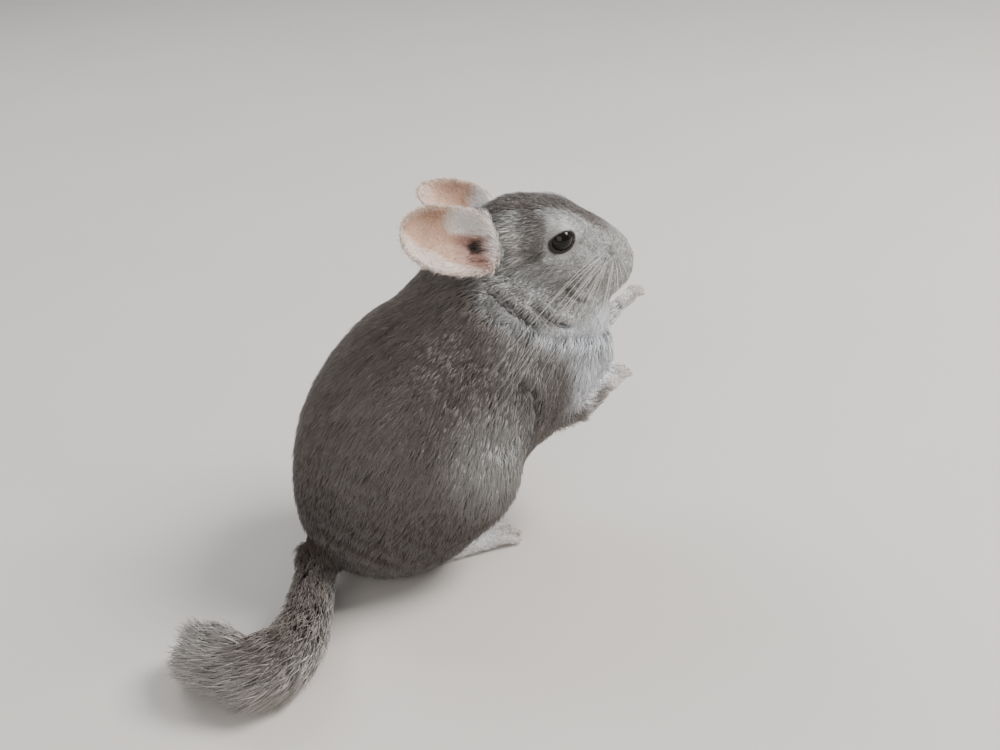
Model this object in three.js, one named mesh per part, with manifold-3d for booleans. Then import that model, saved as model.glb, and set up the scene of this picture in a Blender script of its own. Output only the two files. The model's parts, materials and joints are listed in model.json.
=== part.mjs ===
// A life-size model of a domestic chinchilla sitting up, forepaws raised and tail curled on the floor.
// Millimetres, +X towards the animal's front, +Y to its left, +Z up, the floor at Z = 0.
import * as THREE from "three";
import { mergeVertices } from "three/addons/utils/BufferGeometryUtils.js";
import Module from "manifold-3d";

const wasm = await Module();
wasm.setup();

const v3 = (x, y, z) => new THREE.Vector3(x, y, z);
const degrees = (angle) => THREE.MathUtils.degToRad(angle);
const RIGHT = -1;
const LEFT = 1;

// Driving sizes
const GAP = 0.3; // left between pieces that touch
const LIMB_END = 0.22; // how far a limb's end bulges, of its thickness
const HALVINGS = 20; // steps of a search for a surface
const SMALLEST = 0.02; // shorter edges are closed up
const FLOOR = 0; // level of the flats that the feet, rump and tail rest on
const BIG = 1000; // side of a cutting block

const EAR_WALL = 1.3;
const EAR_CUP = 10; // depth of the pinna
const EAR_FOLD = 6; // how far its sides fold in at the root
const EAR_ROUNDNESS = 0.85; // 1 is an oval, less is squarer
const EAR_BULB = 9.5; // radius of the round root behind each ear
const EAR_CANAL = { at: -0.56, deep: 4.5, wide: 0.16 }; // where along the ear, and its size

const EYE_RADIUS = 6.6;
const EYE_DEPTH = 4.4; // of the eye's centre under the fur round it
const LID = 1.4; // thickness of the lids over the eyeball
const EYE_OPENING = [6.3, 4.6]; // half its length and half its height
const NOSTRIL = 1.5;
const MOUTH = [1.1, 2.4]; // width and depth of the line of the mouth
const CLEFT = [0.9, 2]; // of the split of the upper lip

const TOE_LENGTH = 15;
const TOE_WIDTH = 5.2;
const FINGER_LENGTH = 9;
const FINGER_WIDTH = 3;

const TAIL_CORE = 0.48; // of the way out to the tips of its coat
const LOCK_ROWS = 9; // along the tail
const LOCKS_IN_A_ROW = 6;
const LOCK_LENGTH = 25;
const LOCK_WIDTH = 13;
const LOCK_THICKNESS = 2.4;
const FIRST_LOCK = 0.1; // of the way along the tail
const LAST_LOCK = 0.88;

// Solids

/** The solid that a closed geometry bounds, once its shared vertices are merged. */
function solidOf(geometry) {
  const plain = geometry.clone();
  plain.deleteAttribute("normal");
  plain.deleteAttribute("uv");
  const merged = mergeVertices(plain, 1e-4);
  return new wasm.Manifold(
    new wasm.Mesh({
      numProp: 3,
      vertProperties: new Float32Array(merged.attributes.position.array),
      triVerts: new Uint32Array(merged.index.array),
    }),
  );
}

const joined = (solids) => solids.reduce((a, b) => a.add(b));
const without = (solid, ...others) => others.reduce((a, b) => a.subtract(b), solid);

/** The largest closed surface of a solid, so that no loose scrap or sealed hollow stays. */
const largest = (solid) =>
  solid
    .simplify(SMALLEST)
    .decompose()
    .reduce((a, b) => (b.volume() > a.volume() ? b : a));

/** A geometry with the faces of a solid. */
function geometryOf(solid) {
  const mesh = solid.getMesh();
  const position = new Float32Array(mesh.numVert * 3);
  for (let i = 0; i < mesh.numVert; i++)
    position.set(mesh.vertProperties.subarray(i * mesh.numProp, i * mesh.numProp + 3), i * 3);
  const geometry = new THREE.BufferGeometry();
  geometry.setAttribute("position", new THREE.BufferAttribute(position, 3));
  geometry.setIndex(new THREE.BufferAttribute(new Uint32Array(mesh.triVerts), 1));
  return geometry;
}

/** A block that fills one side of a plane, on the side that the normal points to. */
function halfSpace(point, normal) {
  const block = new THREE.BoxGeometry(BIG, BIG, BIG).translate(0, 0, BIG / 2);
  const turn = new THREE.Quaternion().setFromUnitVectors(v3(0, 0, 1), normal.clone().normalize());
  block.applyQuaternion(turn).translate(point.x, point.y, point.z);
  return solidOf(block);
}

/** What of a solid lies above the floor, cut flat so that it rests there. */
const onFloor = (solid) => solid.intersect(halfSpace(v3(0, 0, FLOOR), v3(0, 0, 1)));

/** A closed skin over rings of points, each ring as long as the next, with a point at either end. */
function skinned(first, rings, last) {
  const count = rings[0].length;
  const points = [first, ...rings.flat(), last];
  const end = points.length - 1;
  const at = (ring, spoke) => 1 + ring * count + (spoke % count);
  const faces = [];
  for (let s = 0; s < count; s++) {
    faces.push(0, at(0, s + 1), at(0, s));
    for (let ring = 0; ring < rings.length - 1; ring++) {
      faces.push(at(ring, s), at(ring, s + 1), at(ring + 1, s));
      faces.push(at(ring, s + 1), at(ring + 1, s + 1), at(ring + 1, s));
    }
    faces.push(end, at(rings.length - 1, s), at(rings.length - 1, s + 1));
  }
  const geometry = new THREE.BufferGeometry();
  const position = points.flatMap((point) => point.toArray());
  geometry.setAttribute("position", new THREE.Float32BufferAttribute(position, 3));
  geometry.setIndex(faces);
  return geometry;
}

/** A smooth line through points. */
const curve = (points) => new THREE.CatmullRomCurve3(points, false, "centripetal");

/**
 * A bent limb of oval section. Each station has its place at and its full size [wide, high]; level is the
 * direction that high is measured along, and power squares the section off as it grows past 2.
 */
function limb(stations, { around = 12, steps = 14, level = v3(0, 0, 1), power = 2, grow = 0 } = {}) {
  const spine = curve(stations.map(({ at }) => at));
  const girth = curve(stations.map(({ size }) => v3(size[0], size[1], 0)));
  const rings = [];
  for (let j = 0; j <= steps; j++) {
    const t = j / steps;
    const along = spine.getTangent(t);
    const side = v3(0, 0, 0).crossVectors(level, along).normalize();
    const top = v3(0, 0, 0).crossVectors(along, side);
    const size = girth.getPoint(t);
    const squared = (value) => Math.sign(value) * Math.abs(value) ** (2 / power);
    rings.push(
      Array.from({ length: around }, (_, i) => {
        const angle = (i / around) * 2 * Math.PI;
        return spine
          .getPoint(t)
          .addScaledVector(side, squared(Math.cos(angle)) * (size.x / 2 + grow))
          .addScaledVector(top, squared(Math.sin(angle)) * (size.y / 2 + grow));
      }),
    );
  }
  const cap = (t, sign) => {
    const size = girth.getPoint(t);
    const out = Math.min(size.x, size.y) * LIMB_END + grow;
    return spine.getPoint(t).addScaledVector(spine.getTangent(t), sign * out);
  };
  return solidOf(skinned(cap(0, -1), rings, cap(1, 1)));
}

// Smooth forms: each is a list of ellipsoids that melt into one another

/** An ellipsoid with its centre, half axes and, in degrees, its turns about X, Y and Z. */
function blob(centre, radii, turns = [0, 0, 0]) {
  const euler = new THREE.Euler(...turns.map(degrees), "ZYX");
  return { centre, radii, back: new THREE.Matrix4().makeRotationFromEuler(euler).invert() };
}

/** The same ellipsoid on the animal's other side. */
function mirrorBlob({ centre, radii, back }) {
  const flip = new THREE.Matrix4().makeScale(1, -1, 1);
  const flipped = flip.clone().multiply(back).multiply(flip);
  return { centre: v3(centre.x, -centre.y, centre.z), radii, back: flipped };
}

const bothSides = (blobs) => blobs.flatMap((one) => [one, mirrorBlob(one)]);

/** The distance from a point to an ellipsoid, near enough close to its surface. */
function distance(point, { centre, radii, back }) {
  const local = point.clone().sub(centre).applyMatrix4(back);
  const [a, b, c] = radii;
  const inside = v3(local.x / a, local.y / b, local.z / c).length();
  const slope = v3(local.x / (a * a), local.y / (b * b), local.z / (c * c)).length();
  return slope < 1e-9 ? -Math.min(a, b, c) : (inside * (inside - 1)) / slope;
}

/** The union of two distances, rounded where they come within soft of each other. */
function soften(a, b, soft) {
  const h = Math.max(soft - Math.abs(a - b), 0) / soft;
  return Math.min(a, b) - h * h * soft * 0.25;
}

/** The distance to several ellipsoids that melt into one another. */
const melted = (point, blobs, soft) =>
  blobs.map((one) => distance(point, one)).reduce((a, b) => soften(a, b, soft));

/** How far from its heart a form reaches in a direction, found by halving. */
function reach({ heart, field, most }, direction) {
  let near = 0;
  let far = most;
  for (let step = 0; step < HALVINGS; step++) {
    const middle = (near + far) / 2;
    if (field(heart.clone().addScaledVector(direction, middle)) < 0) near = middle;
    else far = middle;
  }
  return near;
}

/**
 * A sphere whose points are moved out from the heart onto a melted form. The sphere's poles lie along axis,
 * where its faces are smallest, and grow is added all round.
 */
function sculpt(form, grow = 0) {
  const { heart, around, along, axis } = form;
  const ball = new THREE.SphereGeometry(1, around, along);
  ball.applyQuaternion(new THREE.Quaternion().setFromUnitVectors(v3(0, 1, 0), axis.clone().normalize()));
  const place = ball.attributes.position;
  for (let i = 0; i < place.count; i++) {
    const direction = v3(place.getX(i), place.getY(i), place.getZ(i)).normalize();
    const out = reach(form, direction) + grow;
    const point = heart.clone().addScaledVector(direction, out);
    place.setXYZ(i, point.x, point.y, point.z);
  }
  return solidOf(ball);
}

// The body: trunk, neck and thighs melt into one form, which thin cuts then part

const TRUNK = [
  blob(v3(-17, 0, 61), [58, 52, 52]),
  blob(v3(-31, 0, 33), [42, 41, 33]),
  blob(v3(-1, 0, 93), [57, 48, 50], [0, -38, 0]),
  blob(v3(42, 0, 102), [46, 38, 38], [0, -38, 0]),
  blob(v3(68, -2, 92), [28, 28, 32]),
];
const NECK = [
  blob(v3(30, -1, 136), [32, 34, 32], [0, -30, 0]),
  blob(v3(58, -4, 130), [30, 31, 25], [0, 10, 0]),
  blob(v3(74, -5, 118), [20, 24, 22]),
];
// The left thigh and knee
const THIGH = [blob(v3(-7, 34, 58), [32, 21, 33], [0, 30, 0]), blob(v3(8, 34, 60), [20, 19, 24])];
const THIGH_CUT = { at: v3(-4, 42, 48), radii: [40, 26, 43], turn: 20 };
const NECK_CUT = { nape: v3(4, 0, 156), throat: v3(102, 0, 99) };

const BODY = {
  heart: v3(6, 0, 80),
  most: 170,
  around: 34,
  along: 24,
  axis: v3(0.75, 0, 0.66),
  field: (point) => {
    const trunk = soften(melted(point, TRUNK, 26), melted(point, NECK, 14), 16);
    const thighs = Math.min(melted(point, THIGH, 12), melted(point, THIGH.map(mirrorBlob), 12));
    return soften(trunk, thighs, 8);
  },
};

// The head, in its own frame: X along the muzzle, Y to its left, Z up, its origin between the eyes

const HEAD_AT = v3(70.8, -6.6, 169);
const HEAD_TURNS = [4, 8, -14]; // degrees: right ear low, nose down, turned to its right
const headPlace = new THREE.Matrix4()
  .makeTranslation(HEAD_AT)
  .multiply(new THREE.Matrix4().makeRotationFromEuler(new THREE.Euler(...HEAD_TURNS.map(degrees), "ZYX")));

const SKULL = [
  blob(v3(-18, 0, -9), [28, 25, 25.5]),
  blob(v3(3, 0, -8), [25, 19, 19], [0, 20, 0]),
  blob(v3(21, 0, -13), [17, 14, 14], [0, 25, 0]),
  blob(v3(31, 0, -17), [8.5, 8, 10]),
  blob(v3(14, 0, -32), [18, 15, 16], [0, 35, 0]),
  blob(v3(24, 0, -36), [7, 7, 7]),
  ...bothSides([
    blob(v3(-4, 12.5, -14), [24, 14.5, 16], [0, 20, 0]),
    blob(v3(27, 6.5, -22), [12, 8.5, 9]),
    blob(v3(0, 12, 2), [10, 8, 8]),
  ]),
];
const HEAD = {
  heart: v3(-2, 0, -10),
  most: 90,
  around: 30,
  along: 26,
  axis: v3(1, 0, -0.45),
  field: (point) => melted(point, SKULL, 8),
};

/** The frame of a piece with its origin at root, X along it and Z the way it faces. */
function frameOf(root, along, facing) {
  const x = along.clone().normalize();
  const y = v3(0, 0, 0).crossVectors(facing, x).normalize();
  const z = v3(0, 0, 0).crossVectors(x, y);
  return new THREE.Matrix4().makeBasis(x, y, z).setPosition(root);
}

// Ears, in the frame of the head: each has its root, the way its tip points, the way its cup faces, its
// length and width, the middle of the round root behind it and how much narrower it is there

const EARS = {
  [RIGHT]: {
    root: v3(-27.5, -24.5, -0.9),
    along: v3(-0.9, -0.36, 0.27),
    facing: v3(0.1, -0.8, 0.58),
    size: [60, 32],
    bulb: v3(-36, -14, -8),
    narrowing: 0.16,
  },
  [LEFT]: {
    root: v3(-26, 20, -4.5),
    along: v3(-0.62, 0.72, -0.02),
    facing: v3(0, -0.35, 0.9),
    size: [53, 30],
    bulb: v3(-31, 22, -12),
    narrowing: 0.45,
  },
};

/** The pinna: a thin cup, broad and round at its tip, that flattens towards its root round the canal. */
function pinna({ size: [long, wide], narrowing }) {
  const AROUND = 24;
  const RINGS = 7;
  const facePoint = (r, spoke, face) => {
    const angle = (spoke / AROUND) * 2 * Math.PI;
    const rounded = (value) => Math.sign(value) * Math.abs(value) ** EAR_ROUNDNESS * r;
    const along = -rounded(Math.cos(angle));
    const across = rounded(Math.sin(angle));
    const toRoot = Math.max(-along, 0);
    const half = (wide / 2) * (1 - narrowing * toRoot ** 1.5);
    const hollow = EAR_CUP * (1 - r * r) + EAR_FOLD * toRoot * (1 - across * across * 1.6);
    const flat = THREE.MathUtils.smoothstep(along, -1.05, -0.4) * 0.85 + 0.15;
    const fromCanal = Math.hypot(along - EAR_CANAL.at, across * 0.55) / EAR_CANAL.wide;
    const canal = EAR_CANAL.deep * Math.exp(-(fromCanal ** 2));
    const wall = (EAR_WALL / 2) * Math.sqrt(Math.max(1 - r ** 8, 0)) * (1 + toRoot);
    return v3(((along + 1) / 2) * long, across * half, -hollow * flat - canal + face * wall);
  };
  const ring = (r, face) => Array.from({ length: AROUND }, (_, s) => facePoint(r, s, face));
  const rings = [];
  for (let i = 1; i < RINGS; i++) rings.push(ring(i / RINGS, 1));
  rings.push(ring(1, 0));
  for (let i = RINGS - 1; i > 0; i--) rings.push(ring(i / RINGS, -1));
  return skinned(facePoint(0, 0, 1), rings, facePoint(0, 0, -1));
}

function ear(side) {
  const { root, along, facing, bulb } = EARS[side];
  const place = frameOf(root, along, facing);
  const cup = solidOf(pinna(EARS[side]).applyMatrix4(place));
  const ball = new THREE.SphereGeometry(EAR_BULB, 14, 9).translate(bulb.x, bulb.y, bulb.z);
  return joined([cup, solidOf(ball)]);
}

// Eyes and lids, in the frame of the head

/** The point of a form's surface that lies from its heart towards another point, lifted off by out. */
function surface(form, towards, out = 0) {
  const direction = towards.clone().sub(form.heart).normalize();
  return form.heart.clone().addScaledVector(direction, reach(form, direction) + out);
}

const EYE_TOWARDS = v3(-1.4, 20, 2.2);
const eyeAt = (side) => surface(HEAD, v3(EYE_TOWARDS.x, side * EYE_TOWARDS.y, EYE_TOWARDS.z), -EYE_DEPTH);
const LID_TILT = 32; // degrees

function eyeBall(side, grow = 0) {
  const at = eyeAt(side);
  return solidOf(new THREE.SphereGeometry(EYE_RADIUS + grow, 16, 10).translate(at.x, at.y, at.z));
}

/** The almond-shaped way out between the lids, rising towards the nose. */
function eyeOpening(side) {
  const [long, high] = EYE_OPENING;
  const at = eyeAt(side);
  const opening = new THREE.SphereGeometry(1, 18, 10).rotateX(Math.PI / 2).scale(long, EYE_RADIUS, high);
  opening.rotateY(-degrees(LID_TILT)).translate(at.x, at.y + side * EYE_RADIUS, at.z);
  return solidOf(opening);
}

// The build

const figure = new THREE.Group();
const finish = (color, roughness = 0.95) =>
  new THREE.MeshStandardMaterial({ color, roughness, metalness: 0 });

function addNode(name, solid, material) {
  const mesh = new THREE.Mesh(geometryOf(largest(solid)), material);
  mesh.name = name;
  figure.add(mesh);
  return mesh;
}

const atHead = (solid) => solid.transform(headPlace.elements);

// Nose and mouth are cut along lines on the muzzle, given as points to aim at from the heart of the head

const groove = (points, size, depth, options) =>
  limb(
    points.map((point) => ({ at: surface(HEAD, point, -depth), size })),
    { around: 6, steps: 8, level: v3(0.3, 0.1, 1), ...options },
  );
const nostril = (side) =>
  groove([v3(41, side * 2, -18), v3(40, side * 4, -15), v3(36, side * 5.5, -14.5)], [NOSTRIL, NOSTRIL], 0.2);
const cleft = () =>
  groove([v3(42, 0, -20), v3(41, 0, -25), v3(36, 0, -31)], CLEFT, 0, { level: v3(1, 0, 0) });
const mouth = () =>
  groove(
    [v3(19, -11, -32), v3(30, -8, -34), v3(34, 0, -32), v3(30, 8, -34), v3(19, 11, -32)],
    MOUTH,
    0,
    { steps: 14, level: v3(0, 0, 1) },
  );

// Head
const skull = joined([sculpt(HEAD), eyeBall(RIGHT, LID), eyeBall(LEFT, LID)]);
const cutEye = (side) => eyeBall(side, GAP).add(eyeOpening(side));
const head = without(skull, cutEye(RIGHT), cutEye(LEFT), nostril(RIGHT), nostril(LEFT), cleft(), mouth());
addNode("head", atHead(head), finish(0x8a8580));
const headSpace = atHead(sculpt(HEAD, GAP));
const bodySpace = sculpt(BODY, GAP);
for (const [side, name] of [
  [RIGHT, "right"],
  [LEFT, "left"],
]) {
  addNode("eye_" + name, atHead(eyeBall(side)), finish(0x0c0a0a, 0.08));
  addNode("ear_" + name, without(atHead(ear(side)), headSpace, bodySpace), finish(0xc9a995, 0.7));
}

// Hind legs: the line of a foot lies apart from the middle of the body, the same on either side
const HIND_FOOT = {
  apart: 16,
  metatarsus: [
    { at: v3(-30, 1, 6), size: [11, 12] },
    { at: v3(-18, 0.5, 5.6), size: [13, 13] },
    { at: v3(2, 0, 4.8), size: [13, 11] },
    { at: v3(16, 0, 4.4), size: [15, 10] },
    { at: v3(22, 0, 3.6), size: [13, 8] },
  ],
  toes: [-1, 0, 1],
};

function hindFoot(side, grow = 0) {
  const flip = ({ at, size }) => ({ at: v3(at.x, side * (HIND_FOOT.apart + at.y), at.z), size });
  const pieces = [limb(HIND_FOOT.metatarsus.map(flip), { around: 10, steps: 6, grow })];
  for (const toe of HIND_FOOT.toes) {
    const root = v3(16, side * (HIND_FOOT.apart + toe * 4.6), 4);
    const tip = v3(16 + TOE_LENGTH + (toe === 0 ? 3 : 0), side * (HIND_FOOT.apart + toe * 7), 1.8);
    const middle = root.clone().lerp(tip, 0.5).setZ(5);
    pieces.push(
      limb(
        [
          { at: root, size: [TOE_WIDTH, TOE_WIDTH] },
          { at: middle, size: [TOE_WIDTH, TOE_WIDTH * 1.05] },
          { at: tip, size: [TOE_WIDTH * 0.8, TOE_WIDTH * 0.8] },
        ],
        { around: 7, steps: 4, grow },
      ),
    );
  }
  return onFloor(joined(pieces));
}

function thighCutter(side, grow = 0) {
  const { at, radii, turn } = THIGH_CUT;
  const cutter = new THREE.SphereGeometry(1, 16, 10).scale(...radii.map((r) => r + grow));
  return solidOf(cutter.rotateY(degrees(turn)).translate(at.x, side * at.y, at.z));
}

const feet = [RIGHT, LEFT].map((side) => hindFoot(side));
const footSpaces = [RIGHT, LEFT].map((side) => hindFoot(side, GAP));
const body = onFloor(sculpt(BODY));
["right", "left"].forEach((name, i) => {
  const side = i === 0 ? RIGHT : LEFT;
  addNode("hind_foot_" + name, feet[i], finish(0xb9b4ae));
  addNode("hind_leg_" + name, without(body.intersect(thighCutter(side)), footSpaces[i]), finish(0x77706a));
});
const neckLine = v3(0, 0, 0).subVectors(NECK_CUT.throat, NECK_CUT.nape).normalize();
const neckNormal = v3(-neckLine.z, 0, neckLine.x);
const neck = without(body.intersect(halfSpace(NECK_CUT.nape, neckNormal)), headSpace);
addNode("neck", neck, finish(0x7d766f));
const below = halfSpace(NECK_CUT.nape.clone().addScaledVector(neckNormal, -GAP), neckNormal.clone().negate());
const legSpaces = [thighCutter(RIGHT, GAP), thighCutter(LEFT, GAP), ...footSpaces];
addNode("torso", without(body.intersect(below), headSpace, ...legSpaces), finish(0x6f675f));

// Forelegs
const FORELEGS = {
  [RIGHT]: {
    arm: [
      { at: v3(54, -20, 84), size: [22, 24] },
      { at: v3(66, -23, 76), size: [20, 21] },
      { at: v3(78, -22, 77), size: [13, 14] },
      { at: v3(86, -21, 79), size: [8.5, 9.5] },
    ],
    palm: v3(87, -20.8, 79.4),
    fingers: v3(0.85, 0.12, 0.5),
    back: v3(-0.5, -0.2, 0.8),
  },
  [LEFT]: {
    arm: [
      { at: v3(70, 12, 92), size: [22, 24] },
      { at: v3(89, 14, 94), size: [18, 19] },
      { at: v3(103, 14, 100), size: [13, 13] },
      { at: v3(112, 13, 106), size: [8.5, 9.5] },
    ],
    palm: v3(113, 13, 106.6),
    fingers: v3(0.85, -0.1, 0.52),
    back: v3(-0.5, 0.1, 0.8),
  },
};

function forepaw({ palm, fingers, back }) {
  const place = frameOf(palm, fingers, back);
  const pieces = [
    limb(
      [
        { at: v3(0.6, 0, 0), size: [8, 7] },
        { at: v3(5, 0, 0), size: [10, 6.5] },
        { at: v3(9, 0, -0.5), size: [9.5, 5] },
      ],
      { around: 10, steps: 4 },
    ),
  ];
  for (const spread of [-1.5, -0.5, 0.5, 1.5]) {
    const start = v3(7, spread * 2.4, 0);
    const end = v3(7 + FINGER_LENGTH - Math.abs(spread), spread * 3.6, -1.5);
    pieces.push(
      limb(
        [
          { at: start, size: [FINGER_WIDTH, FINGER_WIDTH] },
          { at: start.clone().lerp(end, 0.55).setZ(0.9), size: [FINGER_WIDTH, FINGER_WIDTH] },
          { at: end, size: [FINGER_WIDTH * 0.7, FINGER_WIDTH * 0.7] },
        ],
        { around: 6, steps: 4 },
      ),
    );
  }
  return joined(pieces).transform(place.elements);
}

for (const [side, name] of [
  [RIGHT, "right"],
  [LEFT, "left"],
]) {
  const leg = FORELEGS[side];
  addNode("foreleg_" + name, without(limb(leg.arm, { around: 12, steps: 8 }), bodySpace), finish(0x77706a));
  const armSpace = limb(leg.arm, { around: 12, steps: 8, grow: GAP });
  addNode("forepaw_" + name, without(forepaw(leg), armSpace, bodySpace), finish(0xcfc6bd));
}

// Tail
// Its centre line at the sizes of its coat, from inside the rump to the tip
const TAIL = [
  { at: v3(-50, 2, 22), size: [22, 24] },
  { at: v3(-70, -4, 21), size: [22, 24] },
  { at: v3(-79, -20, 16), size: [22, 25] },
  { at: v3(-91, -48, 14), size: [28, 30] },
  { at: v3(-102, -65, 15.2), size: [35, 34] },
  { at: v3(-116, -72, 16), size: [38, 36] },
  { at: v3(-130, -64, 16.5), size: [37, 35] },
  { at: v3(-142, -51, 15), size: [30, 30] },
  { at: v3(-151, -41, 15), size: [12, 14] },
];
const TAIL_CUTS = [3.2, 5.6]; // stations that its three lengths part at
const tailLine = curve(TAIL.map(({ at }) => at));
const tailGirth = curve(TAIL.map(({ size }) => v3(size[0], size[1], 0)));

/** The same seeded numbers from 0 to 1 on every run. */
function seeded(seed) {
  let state = seed;
  return () => {
    state = (state * 1664525 + 1013904223) % 4294967296;
    return state / 4294967296;
  };
}

/** The point of the tail's coat, or of the part of it that share gives, at a place along and round it. */
function onTail(t, angle, share) {
  const held = Math.min(t, 1);
  const along = tailLine.getTangent(held);
  const side = v3(0, 0, 1).cross(along).normalize();
  const top = v3(0, 0, 0).crossVectors(along, side);
  const size = tailGirth.getPoint(held);
  return tailLine
    .getPoint(held)
    .addScaledVector(along, (t - held) * tailLine.getLength())
    .addScaledVector(side, (Math.cos(angle) * share * size.x) / 2)
    .addScaledVector(top, (Math.sin(angle) * share * size.y) / 2);
}

/** One flat lock that leaves the core, follows the bend of the tail and comes to a point at the coat. */
function tailLock(t, angle, draw) {
  const length = (LOCK_LENGTH * (0.85 + 0.3 * draw())) / tailLine.getLength();
  const reaches = 0.92 + 0.14 * draw();
  const sway = (draw() - 0.5) * 0.5;
  const width = LOCK_WIDTH * (0.85 + 0.3 * draw());
  const station = (u, share, wide) => ({
    at: onTail(t + u * length, angle + sway * u, share),
    size: [wide * width, Math.max(LOCK_THICKNESS * wide, 0.5)],
  });
  const level = onTail(t, angle, 1).sub(onTail(t, angle, 0)).normalize();
  const stations = [
    station(0, TAIL_CORE * 0.5, 0.8),
    station(0.35, TAIL_CORE + 0.3 * (reaches - TAIL_CORE), 1),
    station(0.7, TAIL_CORE + 0.75 * (reaches - TAIL_CORE), 0.75),
    station(1, reaches, 0.12),
  ];
  return limb(stations, { around: 4, steps: 2, level });
}

function tailCoat() {
  const draw = seeded(11);
  const core = limb(
    TAIL.map(({ at, size }) => ({ at, size: size.map((full) => full * TAIL_CORE) })),
    { around: 8, steps: 16 },
  );
  const locks = [];
  for (let row = 0; row < LOCK_ROWS; row++)
    for (let i = 0; i < LOCKS_IN_A_ROW; i++) {
      const t = FIRST_LOCK + ((LAST_LOCK - FIRST_LOCK) * (row + 0.5 * (i % 2))) / LOCK_ROWS;
      locks.push(tailLock(t, ((i + 0.5 * (row % 2)) / LOCKS_IN_A_ROW) * 2 * Math.PI, draw));
    }
  return onFloor(without(joined([core, ...locks]), bodySpace));
}

const tail = tailCoat();
["tail_base", "tail_middle", "tail_tip"].forEach((name, i) => {
  let length = tail;
  const cutAt = (station, sense) => {
    const t = station / (TAIL.length - 1);
    const normal = tailLine.getTangent(t).multiplyScalar(sense);
    length = length.intersect(halfSpace(tailLine.getPoint(t).addScaledVector(normal, GAP / 2), normal));
  };
  if (i > 0) cutAt(TAIL_CUTS[i - 1], 1);
  if (i < TAIL_CUTS.length) cutAt(TAIL_CUTS[i], -1);
  addNode(name, length, finish(0x6a625b));
});

// The origin is the middle of the ground that the figure covers
const covered = new THREE.Box3().setFromObject(figure);
const middle = covered.getCenter(v3(0, 0, 0));
figure.position.set(-middle.x, -middle.y, -covered.min.z);

export default figure;
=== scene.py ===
"""A life-size model of a domestic chinchilla sitting up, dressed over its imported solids.

Sizes are in millimetres in the frame of the body: X towards the animal's front, Y to its left, Z up, the
floor at Z = 0. FIGURE_SHIFT moves them into the frame of the solids.
"""
import json
import logging
import math
from dataclasses import dataclass, field
from enum import Enum
from typing import Callable, Iterable, Sequence

import bmesh
import bpy
import numpy as np
from mathutils import Matrix, Vector
from mathutils.bvhtree import BVHTree
from mathutils.kdtree import KDTree

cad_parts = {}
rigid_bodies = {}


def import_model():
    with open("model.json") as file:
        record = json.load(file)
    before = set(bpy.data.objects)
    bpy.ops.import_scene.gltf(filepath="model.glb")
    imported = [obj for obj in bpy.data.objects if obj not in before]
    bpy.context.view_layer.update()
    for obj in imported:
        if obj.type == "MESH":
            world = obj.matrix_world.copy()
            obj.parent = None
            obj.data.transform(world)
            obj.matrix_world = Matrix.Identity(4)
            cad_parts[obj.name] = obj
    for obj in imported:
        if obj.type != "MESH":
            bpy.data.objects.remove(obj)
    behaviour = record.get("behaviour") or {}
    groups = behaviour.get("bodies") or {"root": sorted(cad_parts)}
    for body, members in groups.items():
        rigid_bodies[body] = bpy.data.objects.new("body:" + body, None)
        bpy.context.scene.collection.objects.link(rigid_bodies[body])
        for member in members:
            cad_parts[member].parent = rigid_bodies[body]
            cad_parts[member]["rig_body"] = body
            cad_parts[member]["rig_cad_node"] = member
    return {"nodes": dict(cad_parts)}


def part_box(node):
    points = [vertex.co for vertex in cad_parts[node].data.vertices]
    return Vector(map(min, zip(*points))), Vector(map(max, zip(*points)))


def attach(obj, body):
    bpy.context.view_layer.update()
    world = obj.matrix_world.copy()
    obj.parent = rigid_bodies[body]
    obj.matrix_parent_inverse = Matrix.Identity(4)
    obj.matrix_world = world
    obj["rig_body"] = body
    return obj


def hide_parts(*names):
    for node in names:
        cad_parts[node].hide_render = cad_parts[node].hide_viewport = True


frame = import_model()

LOG = logging.getLogger("chinchilla")
FIGURE_SHIFT = np.array([13.787, 11.490, 0.0])
COLOUR = "coat_colour"
BAKE_MAP = "OFBake"
BAKE_PATCH = 0.003
Array = np.ndarray


class Side(Enum):
    """A side of the animal, with the sign of its Y."""

    RIGHT = -1
    LEFT = 1

    @property
    def word(self) -> str:
        """The side's name as the nodes have it."""
        return self.name.lower()


# Numbers on arrays


def unit(vectors: Array) -> Array:
    """Vectors at length one."""
    return vectors / np.maximum(np.linalg.norm(vectors, axis=-1, keepdims=True), 1e-9)


def ramp(low: float, high: float, value: Array) -> Array:
    """A smooth step from 0 at low to 1 at high."""
    t = np.clip((value - low) / (high - low), 0.0, 1.0)
    return t * t * (3.0 - 2.0 * t)


def bump(centre: float, width: float, value: Array) -> Array:
    """A smooth hill of height 1 at centre that is over at a distance of width."""
    return 1.0 - ramp(0.0, width, np.abs(value - centre))


def mix(first: Array, second: Array, share: Array) -> Array:
    """Rows of first, or of second by their share."""
    return first + (second - first) * np.clip(share, 0.0, 1.0)[:, None]


def linear(red: int, green: int, blue: int) -> Array:
    """A screen colour as linear light."""
    value = np.array([red, green, blue]) / 255.0
    return np.where(value <= 0.04045, value / 12.92, ((value + 0.055) / 1.055) ** 2.4)


def turned(x: float, y: float, z: float) -> Array:
    """The matrix of turns in degrees about X, then Y, then Z."""
    return np.array(Matrix.Rotation(math.radians(z), 3, "Z") @ Matrix.Rotation(math.radians(y), 3, "Y")
                    @ Matrix.Rotation(math.radians(x), 3, "X"))


def to_metres(points: Array) -> Array:
    """Points of the body's frame as the solids have them."""
    return (points + FIGURE_SHIFT) / 1000.0


def to_millimetres(points: Array) -> Array:
    """Points of the solids in the body's frame."""
    return points * 1000.0 - FIGURE_SHIFT


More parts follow.
